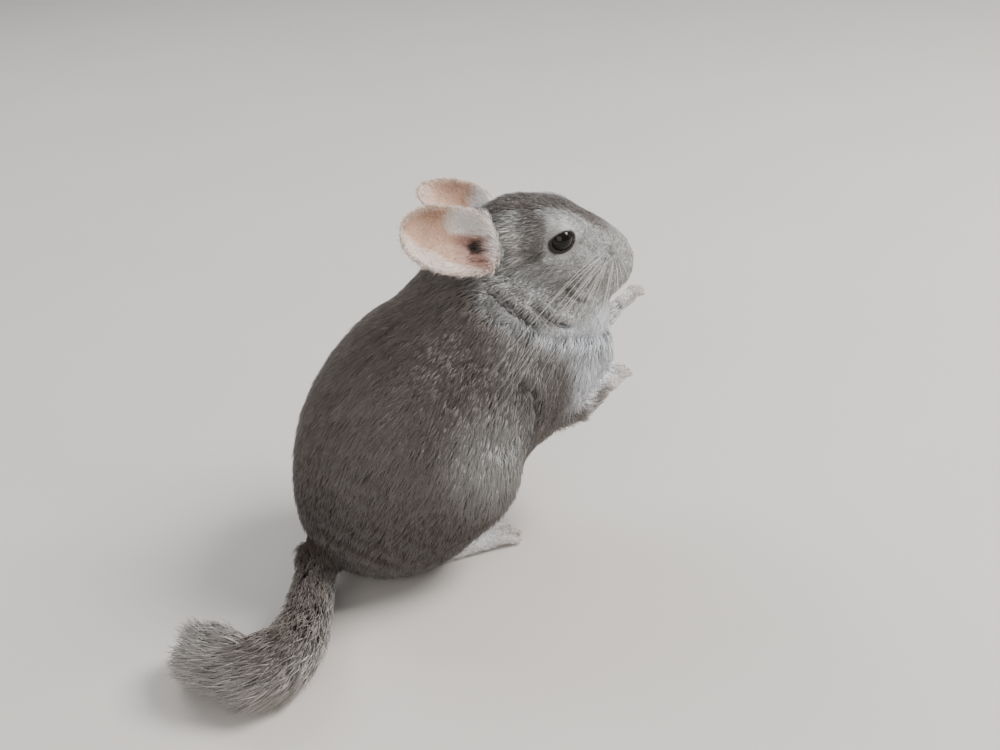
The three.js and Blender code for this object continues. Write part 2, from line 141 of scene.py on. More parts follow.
def along_line(points: Array, line: Array) -> tuple[Array, Array]:
    """How points lie against a line of corners.

    Args:
        points: Rows of X, Y and Z.
        line: The line's corners.

    Returns:
        The distance of each point from the line, and how far along it the point lies, from 0 to 1.
    """
    best = np.full(len(points), 1e9)
    share = np.zeros(len(points))
    steps = len(line) - 1
    for i in range(steps):
        start, step = line[i], line[i + 1] - line[i]
        t = np.clip(((points - start) @ step) / max(step @ step, 1e-9), 0.0, 1.0)
        away = np.linalg.norm(points - (start + t[:, None] * step), axis=1)
        near = away < best
        best[near] = away[near]
        share[near] = (i + t[near]) / steps
    return best, share


def smooth_line(corners: Sequence[Sequence[float]], count: int) -> Array:
    """A Catmull-Rom line through corners.

    Args:
        corners: Rows of any number of values.
        count: How many points the line has.

    Returns:
        The line's points.
    """
    fixed = np.array(corners, float)
    padded = np.vstack([2 * fixed[0] - fixed[1], fixed, 2 * fixed[-1] - fixed[-2]])
    at = np.linspace(0, len(fixed) - 1, count)
    first = np.minimum(at.astype(int), len(fixed) - 2)
    t = (at - first)[:, None]
    a, b, c, d = (padded[first + i] for i in range(4))
    return 0.5 * (2 * b + (c - a) * t + (2 * a - 5 * b + 4 * c - d) * t**2 + (3 * b - a - 3 * c + d) * t**3)


class Mottle:
    """Smooth seeded noise from -1 to 1 over space."""

    SIZE = 32

    def __init__(self, seed: int) -> None:
        """Draws the lattice of the noise."""
        self.lattice = np.random.default_rng(seed).uniform(-1, 1, (self.SIZE,) * 3)

    def at(self, points: Array, spacing: float) -> Array:
        """Reads the noise.

        Args:
            points: Rows of X, Y and Z.
            spacing: How far apart its spots lie, about.

        Returns:
            The noise at each point.
        """
        place = points / spacing
        cell = np.floor(place).astype(int)
        t = place - cell
        t = t * t * (3 - 2 * t)
        total = np.zeros(len(points))
        for corner in np.ndindex(2, 2, 2):
            i, j, k = ((cell + corner) % self.SIZE).T
            weight = np.prod(np.where(np.array(corner) == 1, t, 1 - t), axis=1)
            total += self.lattice[i, j, k] * weight
        return total * 1.6


# Places on the animal


@dataclass(frozen=True)
class HeadPlace:
    """Where the head is: its own frame has X along the muzzle and its origin between the eyes."""

    at: tuple[float, float, float] = (70.8, -6.6, 169.0)
    turns: tuple[float, float, float] = (4.0, 8.0, -14.0)

    @property
    def axes(self) -> Array:
        """The head's axes as columns."""
        return turned(*self.turns)

    def inside(self, points: Array) -> Array:
        """Points of the body's frame in the head's."""
        return (points - np.array(self.at)) @ self.axes

    def outside(self, points: Array) -> Array:
        """Points of the head's frame in the body's."""
        return points @ self.axes.T + np.array(self.at)

    def turn_out(self, vectors: Array) -> Array:
        """Directions of the head's frame in the body's."""
        return vectors @ self.axes.T


HEAD = HeadPlace()


@dataclass(frozen=True)
class EarPlace:
    """An ear in the head's frame: its root, the way its tip points, the way its cup faces and its bulb."""

    side: Side
    root: tuple[float, float, float]
    along: tuple[float, float, float]
    facing: tuple[float, float, float]
    size: tuple[float, float]
    bulb: tuple[float, float, float]
    narrowing: float
    bulb_radius: float = 9.5
    wall: float = 1.3
    cup: float = 10.0
    fold: float = 6.0
    roundness: float = 0.85
    canal_at: float = -0.66
    canal_deep: float = 4.5
    canal_wide: float = 0.15
    sunk: float = 5.0
    pale: float = 1.0

    @property
    def axes(self) -> Array:
        """The ear's axes as columns: along it, across it and out of its cup."""
        x = unit(HEAD.turn_out(np.array(self.along)))
        y = unit(np.cross(HEAD.turn_out(np.array(self.facing)), x))
        return np.stack([x, y, np.cross(x, y)], axis=1)

    @property
    def origin(self) -> Array:
        """The root in the body's frame."""
        return HEAD.outside(np.array([self.root]))[0]

    def inside(self, points: Array) -> Array:
        """Points of the body's frame in the ear's."""
        return (points - self.origin) @ self.axes

    def outside(self, points: Array) -> Array:
        """Points of the ear's frame in the body's."""
        return points @ self.axes.T + self.origin

    def half_width(self, along: Array) -> Array:
        """Half the width of the pinna at a share of its length."""
        return self.size[1] / 2 * (1 - self.narrowing * np.maximum(-along, 0.0) ** 1.5)

    def sheet(self, along: Array, across: Array, face: float) -> Array:
        """Points of the pinna.

        Args:
            along: From -1 at the root to 1 at the tip.
            across: From -1 at the front rim to 1 at the back one.
            face: 1 for the hollow side, -1 for the back, 0 for the rim.

        Returns:
            The points, in the ear's frame.
        """
        out = np.hypot(along, across)
        to_root = np.maximum(-along, 0.0)
        hollow = self.cup * (1 - out**2) + self.fold * to_root * (1 - 1.6 * across**2)
        flat = 0.15 + 0.85 * ramp(-1.05, -0.4, along)
        canal = self.canal_deep * np.exp(-((self.from_canal(along, across) / self.canal_wide) ** 2))
        wall = self.wall / 2 * np.sqrt(np.maximum(1 - out**8, 0.0)) * (1 + to_root)
        rolled = 1.2 * ramp(0.82, 0.98, out) * ramp(-0.5, 0.1, along)
        ridges = 0.4 * np.sin(across * 13) * bump(-0.4, 0.5, along) * (1 - out**4)
        lobe = 1.8 * np.exp(-(((along + 0.6) / 0.16) ** 2) - ((across - 0.55) / 0.2) ** 2)
        relief = ridges + lobe if face > 0 else 0.0
        root = self.sunk * ramp(-0.55, -1.0, along)
        height = rolled - hollow * flat - canal - root + face * wall + relief
        return np.stack([(along + 1) / 2 * self.size[0], across * self.half_width(along), height], axis=-1)

    def from_canal(self, along: Array, across: Array) -> Array:
        """How far places of the sheet lie from the ear's canal."""
        return np.hypot(along - self.canal_at, 0.55 * across)

    def spread(self, points: Array) -> tuple[Array, Array, Array]:
        """Where points lie on the ear.

        Args:
            points: Rows of X, Y and Z in the body's frame.

        Returns:
            Along and across the sheet, as sheet has them, and the height off it.
        """
        local = self.inside(points)
        along = local[:, 0] / self.size[0] * 2 - 1
        across = local[:, 1] / np.maximum(self.half_width(along), 1.0)
        middle = self.sheet(np.clip(along, -1, 1), np.clip(across, -1, 1), 0.0)
        return along, across, local[:, 2] - middle[:, 2]

    def holds(self, points: Array) -> Array:
        """Which points lie on the pinna or in the hollow at its root."""
        along, across, height = self.spread(points)
        return (along > -0.98) & (along < 1.1) & (np.abs(across) < 1.15) & (height > -2.6) & (height < 4.0)


EARS = {
    Side.RIGHT: EarPlace(Side.RIGHT, (-27.5, -24.5, -0.9), (-0.9, -0.36, 0.27), (0.1, -0.8, 0.58), (60, 32),
                         (-36, -14, -8), 0.16),
    Side.LEFT: EarPlace(Side.LEFT, (-26, 20, -4.5), (-0.62, 0.72, -0.02), (0, -0.35, 0.9), (53, 30),
                        (-31, 22, -12), 0.45, roundness=1.0, pale=0.35),
}


@dataclass(frozen=True)
class EyePlace:
    """An eye and the almond-shaped opening of its lids, tilted up at the back."""

    side: Side
    centre: Array
    radius: float = 6.6
    opening: tuple[float, float] = (6.3, 4.6)
    tilt: float = 32.0

    def around(self, points: Array) -> tuple[Array, Array]:
        """Where points lie against the opening of the lids.

        Args:
            points: Rows of X, Y and Z in the body's frame.

        Returns:
            How far round the opening, with 1 on its edge, and how far out of the head from the centre.
        """
        local = (points - self.centre) @ HEAD.axes
        tilt = math.radians(self.tilt)
        u = local[:, 0] * math.cos(tilt) + local[:, 2] * math.sin(tilt)
        v = local[:, 2] * math.cos(tilt) - local[:, 0] * math.sin(tilt)
        return np.hypot(u / self.opening[0], v / self.opening[1]), local[:, 1] * self.side.value

    def rim(self, points: Array) -> Array:
        """How far round the opening the points of the lids lie.

        Args:
            points: Rows of X, Y and Z in the body's frame.

        Returns:
            The share, with 1 on the edge and a large one for all points off the lids.
        """
        around, out = self.around(points)
        near = np.linalg.norm(points - self.centre, axis=1) < self.radius + 5
        return np.where(near & (out > 0.5), around, 9.0)


def find_eyes() -> tuple[EyePlace, ...]:
    """Finds the eyes of the solids.

    Returns:
        The right eye and the left one.
    """
    found = []
    for side in Side:
        low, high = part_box(f"eye_{side.word}")
        found.append(EyePlace(side, to_millimetres((np.array(low) + np.array(high)) / 2)))
    return tuple(found)


EYES = find_eyes()

# X, Y and Z of the tail's line, then the width and the height of its coat
TAIL_STATIONS = [
    (-50, 2, 22, 22, 24),
    (-70, -4, 21, 22, 24),
    (-79, -20, 16, 22, 25),
    (-91, -48, 14, 28, 30),
    (-102, -65, 15.2, 35, 34),
    (-116, -72, 16, 38, 36),
    (-130, -64, 16.5, 37, 35),
    (-142, -51, 15, 30, 30),
    (-151, -41, 15, 12, 14),
]
# The radius of the tail's core at shares of its length
TAIL_CORE = ((0, 11), (0.18, 9), (0.35, 6.4), (0.75, 4.6), (0.85, 2.6), (1.0, 2.0))


@dataclass
class TailPlace:
    """The tail's centre line from inside the rump to its tip, with the radius of its coat and of its core."""

    stations: list[tuple[float, ...]] = field(default_factory=lambda: TAIL_STATIONS)
    count: int = 120
    core_end: int = 102

    def __post_init__(self) -> None:
        """Lays the line out in even steps."""
        line = smooth_line(self.stations, self.count)
        self.points, self.coat = line[:, :3], line[:, 3:].mean(1) / 2
        along = np.linspace(0, 1, self.count)
        self.core = np.interp(along, *np.array(TAIL_CORE, float).T)
        self.tangents = unit(np.gradient(self.points, axis=0))
        tree = KDTree(self.count)
        for i, point in enumerate(self.points):
            tree.insert(Vector(point), i)
        tree.balance()
        self.tree = tree

    def nearest(self, points: Array) -> Array:
        """The index of the line's point that is nearest to each point."""
        return np.array([self.tree.find(Vector(p))[1] for p in points], int)

    def depth(self, points: Array) -> tuple[Array, Array]:
        """How far points lie off the tail's core, and the index of the line's nearest point."""
        near = self.nearest(points)
        return np.linalg.norm(points - self.points[near], axis=1) - self.core[near], near

    def holds(self, points: Array) -> Array:
        """Which points of the skin lie on the tail and not on the rump."""
        off, near = self.depth(points)
        return (off < 3.0) & (near > 17)


TAIL = TailPlace()


@dataclass(frozen=True)
class PawPlace:
    """A forepaw: its wrist, the way its fingers point and the way its back faces."""

    side: Side
    palm: tuple[float, float, float]
    fingers: tuple[float, float, float]
    back: tuple[float, float, float]

    @property
    def axes(self) -> Array:
        """The paw's axes as columns: along it, across it and out of its back."""
        x = unit(np.array(self.fingers, float))
        y = unit(np.cross(np.array(self.back, float), x))
        return np.stack([x, y, np.cross(x, y)], axis=1)

    def inside(self, points: Array) -> Array:
        """Points of the body's frame in the paw's."""
        return (points - np.array(self.palm)) @ self.axes

    def outside(self, points: Array) -> Array:
        """Points of the paw's frame in the body's."""
        return points @ self.axes.T + np.array(self.palm)

    def holds(self, points: Array) -> Array:
        """Which points lie on the paw."""
        x, y, z = self.inside(points).T
        return (x > -0.5) & (x < 20) & (np.abs(y) < 9) & (np.abs(z) < 6)


PAWS = {
    Side.RIGHT: PawPlace(Side.RIGHT, (87, -20.8, 79.4), (0.85, 0.12, 0.5), (-0.5, -0.2, 0.8)),
    Side.LEFT: PawPlace(Side.LEFT, (113, 13, 106.6), (0.85, -0.1, 0.52), (-0.5, 0.1, 0.8)),
}
ARM_LINES = {
    Side.RIGHT: np.array([(54, -20, 84), (66, -23, 76), (78, -22, 77), (87, -21, 79.4)], float),
    Side.LEFT: np.array([(70, 12, 92), (89, 14, 94), (103, 14, 100), (113, 13, 106.6)], float),
}


FOOT_APART = 16.0
FOOT_LINE = np.array([(-30, FOOT_APART, 6), (2, FOOT_APART, 5), (34, FOOT_APART, 3)], float)


def on_foot(points: Array) -> Array:
    """Which points lie on a hind foot in front of the thigh."""
    return (points[:, 2] < 12.5) & (points[:, 0] > -34) & (np.abs(np.abs(points[:, 1]) - FOOT_APART) < 11.5)


def from_foot(points: Array) -> tuple[Array, Array]:
    """How far points lie from the line of the nearer hind foot, and how far along it."""
    return along_line(points * [1, 0, 1] + np.abs(points) * [0, 1, 0], FOOT_LINE)


# Markings


class Tone(Enum):
    """The colours of skin and coat, as on a screen."""

    BODY = (104, 96, 90)
    SPINE = (102, 93, 87)
    DARK_FUR_AND_SHADE = (66, 55, 48)
    FLANK_HIGHLIGHT = (176, 175, 173)
    CROWN = (114, 107, 103)
    BAND = (104, 98, 94)
    BROW = (194, 193, 192)
    CHEEK = (180, 179, 177)
    CHEEK_DARK = (136, 131, 127)
    MUZZLE = (186, 184, 182)
    THROAT = (206, 210, 214)
    CHEST = (240, 243, 248)
    BELLY = (190, 188, 187)
    NOSE = (176, 146, 138)
    EAR_TAN = (208, 172, 148)
    EAR_PALE = (232, 214, 204)
    EAR_ROSE = (182, 146, 136)
    EAR_BAND = (252, 246, 242)
    EAR_BACK = (150, 130, 120)
    CANAL_SHADE = (52, 40, 36)
    PAW = (236, 230, 226)
    FOOT = (218, 216, 214)
    TOE = (194, 184, 178)
    SHADED_ARM = (150, 144, 139)
    ARM_PALE = (226, 223, 222)
    TAIL_DARK = (132, 127, 123)
    LID = (34, 28, 27)
    CREASE = (60, 51, 47)

    @property
    def light(self) -> Array:
        """The colour as linear light."""
        return linear(*self.value)


STREAK = np.array([(22, 0, 158), (42, 0, 140), (62, 0, 126), (84, 0, 110)], float)
FACE_BANDS = (
    (np.array([(-8, 14, 12), (2, 18, 10), (16, 10, 4)], float), 8.5, Tone.BROW, 1.0),
    (np.array([(-23, 14, 12), (-29, 20, 4)], float), 7.0, Tone.CHEEK, 0.6),
    (np.array([(-17, 2, 17), (-15, 12, 14), (-14, 19, 8), (-15, 26, -4)], float), 8.0, Tone.BAND, 0.85),
    (np.array([(10, 20, -6), (22, 15, -12)], float), 7.0, Tone.BROW, 0.5),
    (np.array([(-26, 17, 9), (-22, 25, 0), (-22, 27, -10)], float), 6.5, Tone.EAR_BAND, 0.45),
)


class Markings:
    """Says what colour the animal has at any place, with painted shade and highlights, for its skin and its
    coat alike.
    """

    def __init__(self) -> None:
        """Draws the mottling."""
        self.mottle = Mottle(3)
        self.creases: list[tuple[Array, float]] = []

    def colour(self, points: Array) -> Array:
        """The colours at points of the body's frame.

        Args:
            points: Rows of X, Y and Z in millimetres.

        Returns:
            Rows of linear red, green and blue.
        """
        colour = self.trunk(points)
        colour = self.head(points, colour)
        colour = self.limbs(points, colour)
        # Painted shade: skin and coat are darker along the creases of the folds.
        for line, dark in self.creases:
            away, share = along_line(points, line)
            ends = ramp(0, 0.15, share) * ramp(1, 0.85, share)
            colour = mix(colour, Tone.CREASE.light, dark * ramp(2.8, 0.5, away) * ends)
        shade = 1 + 0.07 * self.mottle.at(points, 9.0) + 0.05 * self.mottle.at(points, 3.5)
        return np.clip(colour * shade[:, None], 0.0, 1.0)

    def trunk(self, points: Array) -> Array:
        """The colours of back, sides, chest and belly, with painted highlights on thigh and shoulder and
        painted shade low on the rump.

        Args:
            points: Rows of X, Y and Z in the body's frame.

        Returns:
            Rows of linear red, green and blue.
        """
        x, y, z = points.T
        body = np.tile(Tone.BODY.light, (len(points), 1))
        back = ramp(34, 8, np.abs(y)) * ramp(30, -30, x - 0.3 * z)
        body = mix(body, Tone.SPINE.light, 0.7 * back)
        # Painted shade: the rump is darker low down, near the floor.
        body = mix(body, Tone.DARK_FUR_AND_SHADE.light, 0.9 * ramp(84, 34, z + 0.25 * x))
        # Painted highlights on the top of the thigh and on the shoulder.
        thigh_highlight = bump(0, 40, np.hypot(x - 16, z - 78)) * ramp(26, 42, np.abs(y))
        body = mix(body, Tone.FLANK_HIGHLIGHT.light, thigh_highlight)
        shoulder_highlight = bump(0, 34, np.linalg.norm((points - [46, 0, 122]) * [1, 0, 1], axis=1))
        body = mix(body, Tone.FLANK_HIGHLIGHT.light, 0.5 * shoulder_highlight)
        under = ramp(34, 14, np.abs(y)) * ramp(10, 40, x - 0.4 * z + 6)
        body = mix(body, Tone.BELLY.light, under * ramp(100, 60, z))
        chest = ramp(58, 76, x + 0.12 * (120 - z)) * ramp(74, 88, z) * ramp(160, 140, z)
        body = mix(body, Tone.CHEST.light, chest * ramp(40, 32, np.abs(y + 3)))
        streak, share = along_line(points * [1, 0, 1], STREAK)
        return mix(body, Tone.THROAT.light, 0.95 * ramp(13, 4, streak) * ramp(0, 0.2, share))

    def head(self, points: Array, body: Array) -> Array:
        """The colours of the face laid over those of the body.

        Args:
            points: Rows of X, Y and Z in the body's frame.
            body: The colours that lie under the face.

        Returns:
            Rows of linear red, green and blue.
        """
        local = HEAD.inside(points)
        x, y, z = local.T
        side = np.abs(y)
        half = np.stack([x, side, z], axis=1)
        off = np.linalg.norm(local, axis=1)
        on_head = ramp(-44, -36, x) * ramp(-48, -34, z + 0.35 * x + 4) * ramp(62, 50, off)
        face = np.tile(Tone.CHEEK.light, (len(points), 1))
        spots = ramp(-0.1, 0.6, self.mottle.at(points, 7.0))
        face = mix(face, Tone.CHEEK_DARK.light, 0.55 * spots * ramp(20, 8, x))
        face = mix(face, Tone.MUZZLE.light, ramp(10, 24, x))
        for line, reach, tone, strength in FACE_BANDS:
            face = mix(face, tone.light, strength * ramp(reach, 0.45 * reach, along_line(half, line)[0]))
        top = ramp(2, 8, z + 0.45 * np.maximum(x, 0))
        face = mix(face, Tone.CROWN.light, 0.9 * ramp(10.5, 5.5, side) * top * ramp(32, 20, x))
        face = mix(face, Tone.CHEST.light, 0.7 * ramp(-34, -42, z))
        speck = self.mottle.at(points, 1.8) * 0.5 + 0.5
        pad = bump(24, 10, x) * bump(-11, 9, z) * ramp(8, 12, side)
        face = mix(face, Tone.LID.light, 0.6 * pad * ramp(0.6, 0.8, speck))
        colour = mix(body, face, on_head)
        nose = np.linalg.norm((local - [38.5, 0, -13]) * [0.7, 0.8, 1.0], axis=1)
        colour = mix(colour, Tone.NOSE.light, 0.7 * ramp(5.5, 3.0, nose))
        for eye in EYES:
            colour = mix(colour, Tone.LID.light, 0.95 * ramp(1.24, 1.1, eye.rim(points)))
        return colour

    def ear(self, ear: EarPlace, points: Array) -> Array:
        """The colours of an ear: its cup is tan and rose with a pale back half and a white front rim, a pale
        edge partly of painted highlight, and painted shade in its canal.

        Args:
            ear: The ear.
            points: Rows of X, Y and Z in the body's frame.

        Returns:
            Rows of linear red, green and blue.
        """
        along, across, height = ear.spread(points)
        inner = np.tile(Tone.EAR_TAN.light, (len(points), 1))
        border = across + 0.62 * along - 0.42 + 0.05 * np.sin(along * 9)
        inner = mix(inner, Tone.EAR_PALE.light, ear.pale * ramp(-0.1, 0.12, border))
        inner = mix(inner, Tone.EAR_ROSE.light, ramp(0.0, -0.5, along) * ramp(0.85, 0.5, across))
        front = -0.35 - 0.8 * np.maximum(along + 0.1, 0) - across
        inner = mix(inner, Tone.EAR_BAND.light, ramp(-0.1, 0.12, front) * ramp(0.2, -0.2, along))
        inner = mix(inner, Tone.EAR_BAND.light, 0.8 * ramp(-0.74, -0.92, along))
        # A pale edge round the pinna: its fine pale hair and a painted highlight of the lit edge.
        rim = ramp(0.84, 0.98, np.hypot(along, across))
        inner = mix(inner, Tone.EAR_PALE.light, 0.6 * rim)
        # Painted shade: the canal of the ear is near black.
        inner = mix(inner, Tone.CANAL_SHADE.light, 0.95 * ramp(0.19, 0.1, ear.from_canal(along, across)))
        vein = bump(0, 0.35, self.mottle.at(points, 5.0))
        inner = mix(inner, Tone.EAR_ROSE.light, 0.18 * vein)
        return mix(inner, Tone.EAR_BACK.light, ramp(0.1, -0.5, height))

    def limbs(self, points: Array, colour: Array) -> Array:
        """The colours of ears, paws, feet and tail laid over the rest.

        Args:
            points: Rows of X, Y and Z in the body's frame.
            colour: The colours that lie under them.

        Returns:
            Rows of linear red, green and blue.
        """
        for ear in EARS.values():
            colour = np.where(ear.holds(points)[:, None], self.ear(ear, points), colour)
        for side, paw in PAWS.items():
            away, share = along_line(points, ARM_LINES[side])
            # Painted shade: the right arm is a darker, shaded copy of the pale left arm.
            tone = Tone.ARM_PALE.light if side is Side.LEFT else Tone.SHADED_ARM.light
            colour = mix(colour, tone, ramp(15, 9, away) * ramp(0.2, 0.5, share))
            local = paw.inside(points)
            colour = mix(colour, Tone.PAW.light, paw.holds(points) * ramp(-2, 4, local[:, 0]))
            colour = mix(colour, Tone.TOE.light, 0.7 * paw.holds(points) * ramp(7, 11, local[:, 0]))
        colour = mix(colour, Tone.FOOT.light, on_foot(points) * ramp(-24, -8, points[:, 0]))
        colour = mix(colour, Tone.TOE.light, 0.7 * on_foot(points) * ramp(20, 30, points[:, 0]))
        behind = (points[:, 0] < -62) & (points[:, 2] < 60)
        if behind.any():
            near = TAIL.nearest(points[behind])
            off = np.linalg.norm(points[behind] - TAIL.points[near], axis=1)
            tail = np.tile(Tone.TAIL_DARK.light, (behind.sum(), 1))
            above = ramp(0.2, 0.9, (points[behind] - TAIL.points[near])[:, 2] / TAIL.core[near])
            # The top of the tail's root is dark fur of the same colour.
            tail = mix(tail, Tone.DARK_FUR_AND_SHADE.light, 0.75 * above * ramp(84, 60, near.astype(float)))
            clear = ramp(22, 32, near.astype(float)) * ramp(1.8, 1.2, off / TAIL.coat[near])
            colour[behind] = mix(colour[behind], tail, clear)
        return colour


# Finishes


def fresh_material(name: str) -> tuple[bpy.types.Material, bpy.types.NodeTree, bpy.types.Node]:
    """Makes a material.

    Args:
        name: Its name.

    Returns:
        The material, its node tree and its shader.
    """
    material = bpy.data.materials.new(name)
    material.use_nodes = True
    tree = material.node_tree
    return material, tree, tree.nodes["Principled BSDF"]


def noise_node(tree: bpy.types.NodeTree, scale: float, detail: float = 3.0) -> bpy.types.Node:
    """Adds noise over the object's own coordinates.

    Args:
        tree: The material's nodes.
        scale: Spots to a metre.
        detail: How fine its detail goes.

    Returns:
        The noise node.
    """
    place = tree.nodes.new("ShaderNodeTexCoord")
    noise = tree.nodes.new("ShaderNodeTexNoise")
    noise.inputs["Scale"].default_value = scale
    noise.inputs["Detail"].default_value = detail
    tree.links.new(place.outputs["Object"], noise.inputs["Vector"])
    return noise


@dataclass(frozen=True)
class PaintedFinish:
    """A finish that takes its colour from the markings and breaks it up with fine noise."""

    name: str
    roughness: float
    grain: float = 700.0
    contrast: float = 0.3
    relief: float = 0.0
    depth: float = 0.0004
    sheen: float = 0.0
    scatter: float = 0.0
    specular: float = 0.3

    def material(self) -> bpy.types.Material:
        """Builds the material.

        Returns:
            The material.
        """
        material, tree, shader = fresh_material(self.name)
        painted = tree.nodes.new("ShaderNodeAttribute")
        painted.attribute_name = COLOUR
        noise = noise_node(tree, self.grain)
        spread = tree.nodes.new("ShaderNodeMapRange")
        spread.inputs["From Min"].default_value = 0.3
        spread.inputs["From Max"].default_value = 0.7
        spread.inputs["To Min"].default_value = 1.0 - self.contrast
        spread.inputs["To Max"].default_value = 1.0 + self.contrast
        tree.links.new(noise.outputs["Fac"], spread.inputs["Value"])
        times = tree.nodes.new("ShaderNodeMix")
        times.data_type, times.blend_type = "RGBA", "MULTIPLY"
        times.inputs["Factor"].default_value = 1.0
        tree.links.new(painted.outputs["Color"], times.inputs["A"])
        tree.links.new(spread.outputs["Result"], times.inputs["B"])
        tree.links.new(times.outputs["Result"], shader.inputs["Base Color"])
        shader.inputs["Roughness"].default_value = self.roughness
        shader.inputs["Specular IOR Level"].default_value = self.specular
        shader.inputs["Sheen Weight"].default_value = self.sheen
        shader.inputs["Sheen Roughness"].default_value = 0.5
        if self.scatter:
            shader.inputs["Subsurface Weight"].default_value = self.scatter
            shader.inputs["Subsurface Radius"].default_value = (0.004, 0.0018, 0.001)
            shader.inputs["Subsurface Scale"].default_value = 1.0
        if self.relief:
            bumps = tree.nodes.new("ShaderNodeBump")
            bumps.inputs["Strength"].default_value = self.relief
            bumps.inputs["Distance"].default_value = self.depth
            tree.links.new(noise.outputs["Fac"], bumps.inputs["Height"])
            tree.links.new(bumps.outputs["Normal"], shader.inputs["Normal"])
        return material


@dataclass(frozen=True)
class EyeFinish:
    """Wet black with a deep brown ring round the pupil."""

    centre: tuple[float, float, float]
    outward: tuple[float, float, float]
    radius: float

    def material(self) -> bpy.types.Material:
        """Builds the material.

        Returns:
            The material.
        """
        material, tree, shader = fresh_material("eye")
        place = tree.nodes.new("ShaderNodeTexCoord")
        off = tree.nodes.new("ShaderNodeVectorMath")
        off.operation = "DISTANCE"
        pole = Vector(self.centre) + Vector(self.outward) * self.radius
        off.inputs[1].default_value = pole
        tree.links.new(place.outputs["Object"], off.inputs[0])
        ring = tree.nodes.new("ShaderNodeValToRGB")
        scale = tree.nodes.new("ShaderNodeMath")
        scale.operation = "DIVIDE"
        scale.inputs[1].default_value = self.radius * 2
        tree.links.new(off.outputs["Value"], scale.inputs[0])
        tree.links.new(scale.outputs["Value"], ring.inputs["Fac"])
        stops = ring.color_ramp.elements
        stops[0].position, stops[0].color = 0.22, (0.002, 0.002, 0.002, 1)
        stops[1].position, stops[1].color = 0.3, (0.012, 0.007, 0.005, 1)
        edge = stops.new(0.46)
        edge.color = (0.004, 0.003, 0.003, 1)
        tree.links.new(ring.outputs["Color"], shader.inputs["Base Color"])
        shader.inputs["Roughness"].default_value = 0.1
        shader.inputs["Specular IOR Level"].default_value = 0.12
        shader.inputs["Coat Weight"].default_value = 0.5
        shader.inputs["Coat Roughness"].default_value = 0.02
        shader.inputs["Coat IOR"].default_value = 1.4
        return material


@dataclass(frozen=True)
class HornFinish:
    """Claws and whiskers: pale horn with faint streaks."""

    name: str
    colour: tuple[float, float, float]
    roughness: float

    def material(self) -> bpy.types.Material:
        """Builds the material.

        Returns:
            The material.
        """
        material, tree, shader = fresh_material(self.name)
        noise = noise_node(tree, 500.0, 2.0)
        ramp_node = tree.nodes.new("ShaderNodeValToRGB")
        stops = ramp_node.color_ramp.elements
        stops[0].position, stops[0].color = 0.35, (*(c * 0.7 for c in self.colour), 1)
        stops[1].position, stops[1].color = 0.7, (*self.colour, 1)
        tree.links.new(noise.outputs["Fac"], ramp_node.inputs["Fac"])
        tree.links.new(ramp_node.outputs["Color"], shader.inputs["Base Color"])
        shader.inputs["Roughness"].default_value = self.roughness
        return material


@dataclass(frozen=True)
class FloorFinish:
    """A plain pale studio floor."""

    def material(self) -> bpy.types.Material:
        """Builds the material.

        Returns:
            The material.
        """
        material, tree, shader = fresh_material("floor")
        noise = noise_node(tree, 6.0, 2.0)
        tone = tree.nodes.new("ShaderNodeValToRGB")
        stops = tone.color_ramp.elements
        stops[0].color, stops[1].color = (0.66, 0.62, 0.58, 1), (0.7, 0.66, 0.62, 1)
        tree.links.new(noise.outputs["Fac"], tone.inputs["Fac"])
        tree.links.new(tone.outputs["Color"], shader.inputs["Base Color"])
        shader.inputs["Roughness"].default_value = 0.7
        return material


# Meshes


def only(*objects: bpy.types.Object) -> None:
    """Selects these objects and nothing else.

    Args:
        objects: The objects, with the active one first.
    """
    bpy.ops.object.select_all(action="DESELECT")
    for each in objects:
        each.hide_set(False)
        each.select_set(True)
    bpy.context.view_layer.objects.active = objects[0]


def corners_of(mesh: bpy.types.Mesh) -> Array:
    """Reads a mesh's points.

    Args:
        mesh: The mesh.

    Returns:
        Its points in the body's frame.
    """
    flat = np.empty(len(mesh.vertices) * 3)
    mesh.vertices.foreach_get("co", flat)
    return to_millimetres(flat.reshape(-1, 3))


def triangles_of(mesh: bpy.types.Mesh) -> tuple[Array, Array]:
    """Reads a mesh's triangles.

    Args:
        mesh: The mesh.

    Returns:
        Their corners and their loops.
    """
    mesh.calc_loop_triangles()
    corners = np.empty(len(mesh.loop_triangles) * 3, int)
    loops = np.empty(len(mesh.loop_triangles) * 3, int)
    mesh.loop_triangles.foreach_get("vertices", corners)
    mesh.loop_triangles.foreach_get("loops", loops)
    return corners.reshape(-1, 3), loops.reshape(-1, 3)


def set_corners(mesh: bpy.types.Mesh, points: Array) -> None:
    """Moves a mesh's points."""
    mesh.vertices.foreach_set("co", to_metres(points).ravel())
    mesh.update()


def normals_of(points: Array, triangles: Array) -> Array:
    """Works out smooth normals.

    Args:
        points: The corners.
        triangles: Rows of three corners.

    Returns:
        A normal at each corner.
    """
    a, b, c = (points[triangles[:, i]] for i in range(3))
    face = np.cross(b - a, c - a)
    total = np.zeros_like(points)
    for i in range(3):
        np.add.at(total, triangles[:, i], face)
    return unit(total)


